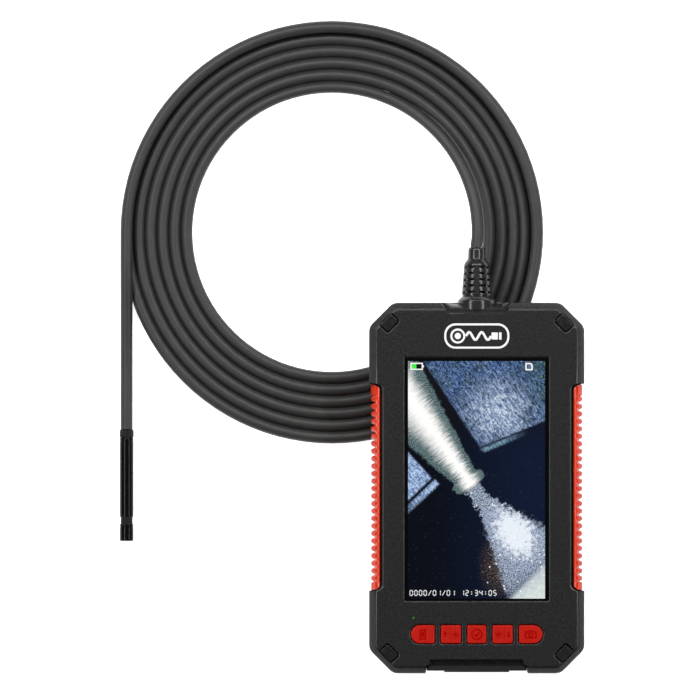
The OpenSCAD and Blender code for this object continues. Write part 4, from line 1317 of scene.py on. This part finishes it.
def lit_tube(p, rough):
    """How bright the tube is: white along its middle, falling off in streaks to both edges."""
    back = p.math("MAXIMUM", p.math("MULTIPLY", p.s, -1.0), 0.0)
    left = p.math("ADD", p.math("MULTIPLY", back, 0.26), 5.0)
    right = p.math("ADD", p.math("MULTIPLY", back, 0.13), 4.2)
    collar = p.both(p.range(p.s, -3.2, -1.8), p.range(p.s, 0.6, 2.4, 1, 0))
    left = p.math("ADD", left, p.math("MULTIPLY", collar, 2.2))
    right = p.math("ADD", right, p.math("MULTIPLY", collar, 2.4))
    streaks = p.noise(1.0, 4, 0.65, p.stretched(1.5, 0.22))
    t = p.math("ADD", p.t, p.math("MULTIPLY", p.math("SUBTRACT", streaks, 0.5), 7.0))
    inside_left = p.range(p.math("DIVIDE", p.math("MULTIPLY", t, -1.0), left), 0.08, 0.80, 1, 0)
    inside_right = p.range(p.math("DIVIDE", t, right), 0.08, 0.80, 1, 0)
    front = p.range(p.math("ADD", p.s, p.math("MULTIPLY", rough, 2.0)), 1.8, 3.6, 1, 0)
    ragged = p.math("ADD", p.t, p.math("MULTIPLY", p.math("SUBTRACT", rough, 0.5), 3.4))
    shape = p.both(p.range(p.math("DIVIDE", p.math("MULTIPLY", ragged, -1.0), left), 0.9, 1.04, 1, 0),
                   p.range(p.math("DIVIDE", ragged, right), 0.9, 1.04, 1, 0), front)
    return shape, p.both(inside_left, inside_right)


def lit_spray(p, rough):
    """The cone of light on dirt in front of the tube."""
    left = p.math("MAXIMUM", p.math("ADD", p.math("MULTIPLY", p.s, 0.3), 0.3), 3.6)
    right = p.math("MAXIMUM", p.math("SUBTRACT", p.math("MULTIPLY", p.s, 0.5), 1.0), 3.2)
    wander = p.math("MULTIPLY", p.math("SUBTRACT", rough, 0.5), 9.0)
    t = p.math("ADD", p.t, wander)
    shape = p.both(p.range(p.math("DIVIDE", p.math("MULTIPLY", t, -1.0), left), 0.8, 1.1, 1, 0),
                   p.range(p.math("DIVIDE", t, right), 0.8, 1.1, 1, 0), p.range(p.s, 0.5, 3.0),
                   p.range(p.math("ADD", p.s, wander), 40, 54, 1, 0))
    ds = p.math("DIVIDE", p.math("SUBTRACT", p.s, 27), 15)
    dt = p.math("DIVIDE", p.math("SUBTRACT", p.t, 3), 10)
    heart = p.math("SQRT", p.math("ADD", p.math("MULTIPLY", ds, ds), p.math("MULTIPLY", dt, dt)))
    return shape, p.range(p.math("ADD", heart, p.math("MULTIPLY", p.math("SUBTRACT", rough, 0.5), 1.6)), 0.2, 1.3, 1, 0)


def live_picture():
    p = Picture("live_picture")
    tube_frame(p)
    rough = p.noise(0.55, 5, 0.65)
    fine = p.noise(2.4, 4, 0.7)
    wobble = p.math("MULTIPLY", p.math("SUBTRACT", fine, 0.5), 2.2)
    # deep blue shadow, darkest at the lower left
    colour = p.mix(p.range(p.x, -24, 26), (0.0022, 0.0035, 0.0080), (0.0042, 0.0095, 0.0300))
    colour = p.mix(p.range(p.y, 8, 40), colour, (0.0060, 0.0062, 0.0085))
    # fibrous blue wall at the upper right
    fibres = p.noise(1.0, 5, 0.72, p.stretched(0.35, 1.3))
    tangle = p.noise(1.3, 6, 0.75, distortion=1.2)
    fur = p.range(p.math("ADD", p.math("MULTIPLY", fibres, 0.45), p.math("MULTIPLY", tangle, 0.55)), 0.43, 0.58)
    dx = p.math("DIVIDE", p.math("SUBTRACT", p.x, 9.0), 15.0)
    dy = p.math("DIVIDE", p.math("SUBTRACT", p.y, 27.0), 14.0)
    glow = p.range(p.math("SQRT", p.math("ADD", p.math("MULTIPLY", dx, dx), p.math("MULTIPLY", dy, dy))), 0.0, 1.4, 1, 0)
    glow = p.math("MULTIPLY", glow, p.range(rough, 0.3, 0.62, 0.45, 1.0))
    dim = p.mix(fur, (0.005, 0.016, 0.060), (0.13, 0.23, 0.46))
    lit = p.mix(fur, (0.08, 0.17, 0.40), (0.84, 0.94, 1.0))
    wall = p.mix(glow, dim, lit)
    grime = p.both(p.range(p.noise(0.17, 4, 0.65), 0.46, 0.58), p.range(glow, 0.3, 0.7, 1, 0.1))
    wall = p.mix(p.math("MULTIPLY", grime, 0.7), wall, p.mix(fur, (0.006, 0.014, 0.030), (0.10, 0.17, 0.28)))
    green = p.both(p.range(p.x, 16, 29), p.range(p.y, 20, 44), p.range(rough, 0.42, 0.56))
    wall = p.mix(p.math("MULTIPLY", green, 0.85), wall, p.mix(fur, (0.006, 0.020, 0.008), (0.060, 0.16, 0.075)))
    grit = p.both(p.dots(1.15, 0.24), p.range(tangle, 0.45, 0.6))
    wall = p.mix(grit, wall, (0.92, 0.97, 1.0))
    edge = p.both(p.line(0.835, 0.551, 1.3, 13.5, 0.7, wobble), p.line(-0.377, 0.926, 1.3, 13.1, 0.5, wobble))
    colour = p.mix(edge, colour, wall)
    flap = p.both(p.line(-0.377, 0.926, 1.3, 10.4, 0.6, wobble), p.line(0.377, -0.926, 1.3, 12.2, 0.5, wobble),
                  p.line(0.6, 0.8, 4.0, 10.6, 1.0), p.range(p.x, 9, 21, 1, 0))
    colour = p.mix(p.math("MULTIPLY", flap, 0.8), colour, p.mix(fur, (0.05, 0.12, 0.2), (0.30, 0.48, 0.62)))
    # two leaves of the same stuff at the left
    leaf = p.both(p.line(-0.74, -0.673, -18.1, 0.7, 0.5, wobble), p.line(-0.69, 0.724, -18.1, 0.7, 0.5, wobble))
    slip = p.both(p.line(-0.74, -0.673, -15.6, -1.2, 0.6, wobble), p.line(-0.69, 0.724, -16.0, -2.6, 0.6, wobble),
                  p.line(0.69, -0.724, -17.4, -0.6, 0.5, wobble))
    leaves = p.math("MAXIMUM", leaf, p.math("MULTIPLY", slip, p.range(p.y, -18, -4)))
    colour = p.mix(leaves, colour, p.mix(fur, (0.05, 0.11, 0.30), (0.55, 0.72, 0.95)))
    # pale lining in the lower right corner
    corner = p.line(0.72, -0.694, 20.5, -40.5, 1.2, p.math("MULTIPLY", wobble, 1.5))
    lining = p.mix(rough, (0.46, 0.56, 0.54), (0.92, 0.95, 0.92))
    colour = p.mix(corner, colour, lining)
    # rust specks below the tube
    dx = p.math("DIVIDE", p.math("SUBTRACT", p.x, 9.0), 8.0)
    dy = p.math("DIVIDE", p.math("ADD", p.y, 34.0), 13.0)
    near = p.range(p.math("SQRT", p.math("ADD", p.math("MULTIPLY", dx, dx), p.math("MULTIPLY", dy, dy))), 0.3, 1.2, 1, 0)
    rust = p.both(near, p.range(p.noise(2.0, 3, 0.7), 0.50, 0.62))
    colour = p.mix(rust, colour, p.mix(fine, (0.10, 0.035, 0.015), (0.38, 0.28, 0.16)))
    # spray of light, then the tube, then sparks over everything
    spray, heart = lit_spray(p, rough)
    crumbs = p.range(p.noise(1.9, 5, 0.8), 0.38, 0.64)
    dust = p.mix(crumbs, (0.05, 0.085, 0.17), (0.60, 0.70, 0.86))
    dust = p.mix(p.range(heart, 0.35, 0.95), dust, p.mix(crumbs, (0.66, 0.76, 0.90), (1.0, 1.0, 1.0)))
    colour = p.mix(p.math("MULTIPLY", spray, p.range(p.math("ADD", heart, crumbs), 0.1, 0.6, 0.35, 1)), colour, dust)
    tube, core = lit_tube(p, rough)
    rim = p.mix(p.range(fine, 0.38, 0.62), (0.006, 0.013, 0.011), (0.19, 0.29, 0.31))
    pipe = p.mix(core, rim, (1.0, 1.0, 0.98))
    colour = p.mix(tube, colour, pipe)
    sparks = p.both(p.dots(0.46, 0.22), p.range(p.math("ADD", spray, p.math("MULTIPLY", near, 0.8)), 0.05, 0.5, 0.012, 1.0),
                    p.range(rough, 0.40, 0.52))
    colour = p.mix(sparks, colour, (1.0, 1.0, 1.0))
    sign = p.both(p.range(p.x, -26.2, -26.1), p.range(p.x, -21.7, -21.6, 1, 0), p.range(p.y, 44.2, 44.3),
                  p.range(p.y, 46.6, 46.7, 1, 0))
    colour = p.mix(sign, colour, (0.004, 0.006, 0.012))
    # the black border round the picture
    half_w = p.math("LESS_THAN", p.math("ABSOLUTE", p.x), PICTURE_W / 2)
    half_l = p.math("LESS_THAN", p.math("ABSOLUTE", p.y), PICTURE_L / 2)
    colour = p.mix(p.both(half_w, half_l), (0.0012, 0.0012, 0.0014), colour)
    p.put(p.shader.inputs["Emission Color"], colour)
    p.put(p.shader.inputs["Base Color"], p.mix(rough, (0.001, 0.001, 0.001), (0.002, 0.002, 0.002)))
    p.put(p.shader.inputs["Roughness"], p.range(fine, 0.3, 0.7, 0.05, 0.09))
    p.set(Emission_Strength=1.0, Specular_IOR_Level=0.06)
    return p.material


# %% Window
def screen_window():
    shapes = [(0.0, 28.2), (0.0, 29.1), (0.12, 29.32), (0.4, 29.4)]
    levels = [(rounded_rectangle(57.4 - 2 * inset, 97.2 - 2 * inset, 0.5, cy=SCREEN_Y), z) for inset, z in shapes]
    return soften(at_heights("screen_glass", *levels), 0)


window = finished(screen_window(), live_picture(), "handset", "window", "screen_window")


# %% Signs on the picture
def glowing(name, low, high):
    """Even light with the faint grid of the display's dots."""
    tree = Tree(name)
    x, y, z = tree.coordinates()
    grid = tree.math("FRACT", tree.math("MULTIPLY", x, 6000))
    tree.put(tree.shader.inputs["Emission Color"], tree.mix(grid, low, high))
    tree.put(tree.shader.inputs["Base Color"], tree.mix(grid, (0.01, 0.01, 0.01), (0.02, 0.02, 0.02)))
    tree.set(Emission_Strength=1.0, Specular_IOR_Level=0.1)
    return tree.material


GLASS_TOP = (29.38, 29.43)
WHITE_SIGN = glowing("white_sign", (0.85, 0.85, 0.85), (1.0, 1.0, 1.0))
sign_x = PICTURE_X - PICTURE_W / 2
sign_y = PICTURE_Y + PICTURE_L / 2
frame_line = [(sign_x + 1.2, sign_y - 0.9), (sign_x + 1.2, sign_y - 3.3), (sign_x + 5.7, sign_y - 3.3),
              (sign_x + 5.7, sign_y - 0.9)]
signs = closed_stroke(frame_line, 0.5, *GLASS_TOP) + stroke(
    [(sign_x + 6.15, sign_y - 1.7), (sign_x + 6.15, sign_y - 2.5)], 0.4, *GLASS_TOP)
card = [(47.2, 1.0), (49.2, 1.0), (49.6, 1.6), (49.6, 3.4), (47.2, 3.4)]
signs += closed_stroke([(sign_x + x, sign_y - y) for x, y in card], 0.55, *GLASS_TOP)


# %% Counter at the foot of the picture
SEGMENTS = {
    "top": ((0, 2), (1, 2)), "upper_left": ((0, 1), (0, 2)), "upper_right": ((1, 1), (1, 2)), "middle": ((0, 1), (1, 1)),
    "lower_left": ((0, 0), (0, 1)), "lower_right": ((1, 0), (1, 1)), "bottom": ((0, 0), (1, 0)),
}
UNLIT = {
    "0": ["middle"], "1": ["top", "upper_left", "middle", "lower_left", "bottom"], "2": ["upper_left", "lower_right"],
    "3": ["upper_left", "lower_left"], "4": ["top", "lower_left", "bottom"], "5": ["upper_right", "lower_left"],
}


def counter(text, x, y, width, height):
    """A row of seven-segment digits. A colon is two dots and a slash is a slanted stroke."""
    parts = []
    for place, mark in enumerate(text):
        left = x + place * width * 1.72
        if mark == ":":
            for level in (0.28, 0.72):
                dot = (left + width / 2, y + height * level)
                parts += stroke([(dot[0] - 0.18, dot[1]), (dot[0] + 0.18, dot[1])], 0.36, *GLASS_TOP)
        elif mark == "/":
            parts += stroke([(left, y), (left + width, y + height)], 0.26, *GLASS_TOP)
        elif mark in UNLIT:
            for name, ends in SEGMENTS.items():
                if name not in UNLIT[mark]:
                    (u0, v0), (u1, v1) = ends
                    gap_x, gap_y = 0.15 * (u1 - u0), 0.15 * (v1 - v0)
                    line = [(left + u0 * width + gap_x, y + v0 * height / 2 + gap_y),
                            (left + u1 * width - gap_x, y + v1 * height / 2 - gap_y)]
                    parts += stroke(line, 0.32, *GLASS_TOP)
    return parts


signs += counter("0000/01/01 12:34:05", sign_x + 0.75, PICTURE_Y - PICTURE_L / 2 + 1.25, 1.08, 2.0)
finished(soften(joined("screen_signs", *signs), 0), WHITE_SIGN, "handset", "display")
charge = prism("screen_charge", [(sign_x + x, sign_y - y) for x, y in ((1.5, 3.05), (3.3, 3.05), (3.3, 1.15), (1.5, 1.15))],
               *GLASS_TOP)
finished(soften(charge, 0), glowing("green_sign", (0.02, 0.70, 0.03), (0.05, 0.95, 0.06)), "handset", "display")


# %% [markdown]
# ## Badge and status light
# A white outline is printed above the screen, with a plain drawing of a lens, a lead and a camera head in it. Print
# has almost no height, so these are very thin solids. The status light is the end of a clear plastic rod.

# %% Badge
def white_print():
    """Screen-printed ink: white, slightly thin where the grain of the plastic shows through."""
    tree = Tree("white_print")
    grain = tree.noise(2300, 4, 0.65)
    tree.put(tree.shader.inputs["Base Color"], tree.mix(grain, (0.62, 0.62, 0.62), (0.84, 0.84, 0.84)))
    tree.put(tree.shader.inputs["Roughness"], tree.range(grain, 0.3, 0.7, 0.45, 0.6))
    return tree.material


PRINT = (FACE - 0.02, FACE + 0.09)
BADGE_Y = 60.85
WHITE_PRINT = white_print()
lens_ring = closed_stroke(arc(-7.6, BADGE_Y, 2.6, 0, 348, 29), 0.8, *PRINT)
lens_ring.append(prism("pupil", arc(-7.6, BADGE_Y, 1.25, 0, 345, 23), *PRINT))
wave = [(-4.3 + 0.25 * i, BADGE_Y + 1.5 * math.sin(math.radians(18 * i))) for i in range(41)]
lead_line = stroke(wave, 0.95, *PRINT)
head_mark = stroke([(5.9, BADGE_Y), (8.4, BADGE_Y)], 2.8, *PRINT) + stroke([(8.9, BADGE_Y), (9.9, BADGE_Y)], 2.8, *PRINT)
finished(soften(joined("badge_drawing", *lens_ring, *lead_line, *head_mark), 0), WHITE_PRINT, "handset", "print_white")

# %% Status light
def light_rod():
    """Clear rod that glows green from the lamp below it, brightest in its middle."""
    tree = Tree("light_rod")
    x, y, z = tree.coordinates()
    cloud = tree.noise(1500, 2)
    middle = tree.nodes.new("ShaderNodeVectorMath")
    middle.operation = "DISTANCE"
    tree.put(middle.inputs[0], tree.vector(x, y, 0.0))
    middle.inputs[1].default_value = (-25.3 * MM, -51.9 * MM, 0)
    glow = tree.range(middle.outputs["Value"], 0.0001, 0.0004, 1, 0)
    tree.put(tree.shader.inputs["Emission Color"], tree.mix(glow, (0.004, 0.02, 0.002), tree.mix(cloud, (0.08, 0.30, 0.003), (0.14, 0.38, 0.003))))
    tree.put(tree.shader.inputs["Base Color"], tree.mix(cloud, (0.02, 0.06, 0.01), (0.03, 0.08, 0.01)))
    tree.set(Emission_Strength=0.8, Roughness=0.2)
    return tree.material


def coat(material, *names):
    """Give CAD nodes whose shape is right a finish of their own."""
    for name in names:
        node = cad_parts[name]
        node.data.materials.clear()
        node.data.materials.append(material)


coat(light_rod(), "light_pipe")
coat(WHITE_PRINT, "front_badge")

# %% [markdown]
# ## Port cover
# A stiff rubber flap covers the sockets at the lower end. It turns about a steel pin at its foot. Its plug fills the
# charging socket, and five ribs repeated by a recipe give a fingernail something to pull on.

# %% Cover
def rib_row():
    recipe = Recipe("rib_row")
    ribs, first, pitch, size = recipe.inputs(
        ribs=5, first=(0.0, -0.0733, 0.022), pitch=(0.0, 0.0, 0.0012), size=(0.026, 0.0007, 0.0005)
    )
    bar = recipe.add("GeometryNodeMeshCube", size, 2, 2, 2)
    row = recipe.add("GeometryNodeMeshLine", ribs, first, pitch, mode="OFFSET")
    return recipe.end(recipe.add("GeometryNodeInstanceOnPoints", row, None, bar))


def flap():
    shapes = [(0.35, 14.1), (0.0, 14.5), (0.0, 27.9), (0.12, 28.3), (0.5, 28.6)]
    levels = []
    for inset, z in shapes:
        outline = rounded_rectangle(39.8 - 2 * inset, 2.2 - 2 * inset * 0.8, 0.35, cy=-72.0)
        levels.append((outline, z))
    plate = at_heights("port_flap", *levels)
    knuckle = placed(prism("knuckle", arc(0, 0, 1.1, 0, 350, 35), -19.9, 19.9),
                     Matrix.Translation((0, -0.072, 0.0142)) @ Matrix.Rotation(math.radians(90), 4, "Y"))
    plug = box(5.4, 12.6, -71.5, -70.0, 19.5, 20.9)
    fused(plate, knuckle, plug)
    ribs = grown(mesh_object("ribs", [], []), rib_row(), SEAL_RUBBER)
    return soften(joined("port_flap", plate, ribs), 0.1)


cover = finished(flap(), SEAL_RUBBER, "port_cover", "seal", "port_cover")

# %% [markdown]
# ## Screws
# Four machine screws hold the shells together from behind. One screw is drawn once, and a recipe sets a copy on each
# of four points.

# %% Screws
def blackened_screw():
    """Blackened steel, worn brighter on the high spots of the head."""
    tree = Tree("blackened_screw")
    wear = tree.noise(1800, 4)
    tree.put(tree.shader.inputs["Base Color"], tree.mix(wear, (0.03, 0.03, 0.032), (0.10, 0.10, 0.105)))
    tree.put(tree.shader.inputs["Roughness"], tree.range(wear, 0.3, 0.7, 0.28, 0.45))
    tree.set(Metallic=1.0)
    return tree.material


def screw_set():
    recipe = Recipe("screw_set")
    across, up, low, height = recipe.inputs(across=0.064, up=0.127, low=-0.0015, height=0.0114)
    spots = recipe.add("GeometryNodeMeshGrid", across, up, 2, 2)
    lift = recipe.add("ShaderNodeCombineXYZ", 0.0, low, height)
    spots = recipe.add("GeometryNodeSetPosition", spots, None, None, lift)
    return recipe.end(recipe.add("GeometryNodeInstanceOnPoints", spots, None, recipe.entry.outputs["Geometry"]))


def case_screws():
    rings = [(2.3, 0.0), (2.6, 0.1), (2.8, 0.4), (2.8, 2.0), (1.45, 2.0), (1.45, 10.0), (1.2, 10.4)]
    screw = at_heights("case_screw_set", *[(arc(0, 0, r, 0, 350, 35), z) for r, z in rings])
    slot = [box(-1.5, 1.5, -0.32, 0.32, -1, 1.0), box(-0.32, 0.32, -1.5, 1.5, -1, 1.0)]
    cut(screw, fused(*slot))
    return soften(grown(screw, screw_set(), blackened_screw()), 0)


screws = case_screws()
finished(screws, screws.data.materials[0], "handset", "dark_metal", "case_screws")

# %% [markdown]
# ## Parts inside
# The display, the board, the battery and the sockets keep their solid shapes, and show only through the sockets or
# with the cover open. Each still gets a finish with its own grain, so a reader who opens the shells sees real stuff.

# %% Inner finishes
def inner_finish(name, low, high, scale, rough=(0.4, 0.6), **values):
    tree = Tree(name)
    cloud = tree.noise(scale, 4)
    tree.put(tree.shader.inputs["Base Color"], tree.mix(cloud, low, high))
    tree.put(tree.shader.inputs["Roughness"], tree.range(cloud, 0.3, 0.7, *rough))
    tree.set(**values)
    return tree.bump(cloud, 0.1, 0.00004).material


BRIGHT_METAL = inner_finish("bright_metal", (0.55, 0.55, 0.57), (0.72, 0.72, 0.74), 1600, (0.22, 0.38), Metallic=1.0)
CONTACT_METAL = inner_finish("contact_metal", (0.60, 0.52, 0.30), (0.78, 0.70, 0.45), 1400, (0.2, 0.35), Metallic=1.0)
BLACK_PLASTIC = inner_finish("black_plastic", (0.010, 0.010, 0.011), (0.022, 0.022, 0.024), 1900)
BOARD_LACQUER = inner_finish("board_lacquer", (0.004, 0.060, 0.022), (0.010, 0.110, 0.040), 700, (0.25, 0.4))
PALE_PLASTIC = inner_finish("pale_plastic", (0.60, 0.57, 0.48), (0.74, 0.71, 0.62), 900)
KEY_MAT = inner_finish("key_mat_rubber", (0.20, 0.20, 0.21), (0.28, 0.28, 0.29), 1100, (0.5, 0.65))
CELL_WRAP = inner_finish("cell_wrap", (0.012, 0.06, 0.22), (0.020, 0.09, 0.30), 300, (0.22, 0.32))
DISPLAY_CELL = inner_finish("display_cell", (0.006, 0.008, 0.014), (0.012, 0.016, 0.026), 500, (0.08, 0.14))

coat(BRIGHT_METAL, "display_frame", "board_screws", "usb_port", "card_slot", "cover_pin", "clamp_screws")
coat(CONTACT_METAL, "battery_contacts")
coat(BLACK_PLASTIC, "key_switches", "battery_cradle", "memory_card", "lead_clamp", "image_sensor")
coat(BOARD_LACQUER, "main_board")
coat(PALE_PLASTIC, "lead_connector", "led_ring", "status_led")
coat(KEY_MAT, "keypad_mat")
coat(CELL_WRAP, "battery_cell")
coat(DISPLAY_CELL, "display_panel")
coat(SEAL_RUBBER, "shell_gasket", "window_gasket")

# %% [markdown] ## End of the scene
# The pieces must not outgrow the solid model.
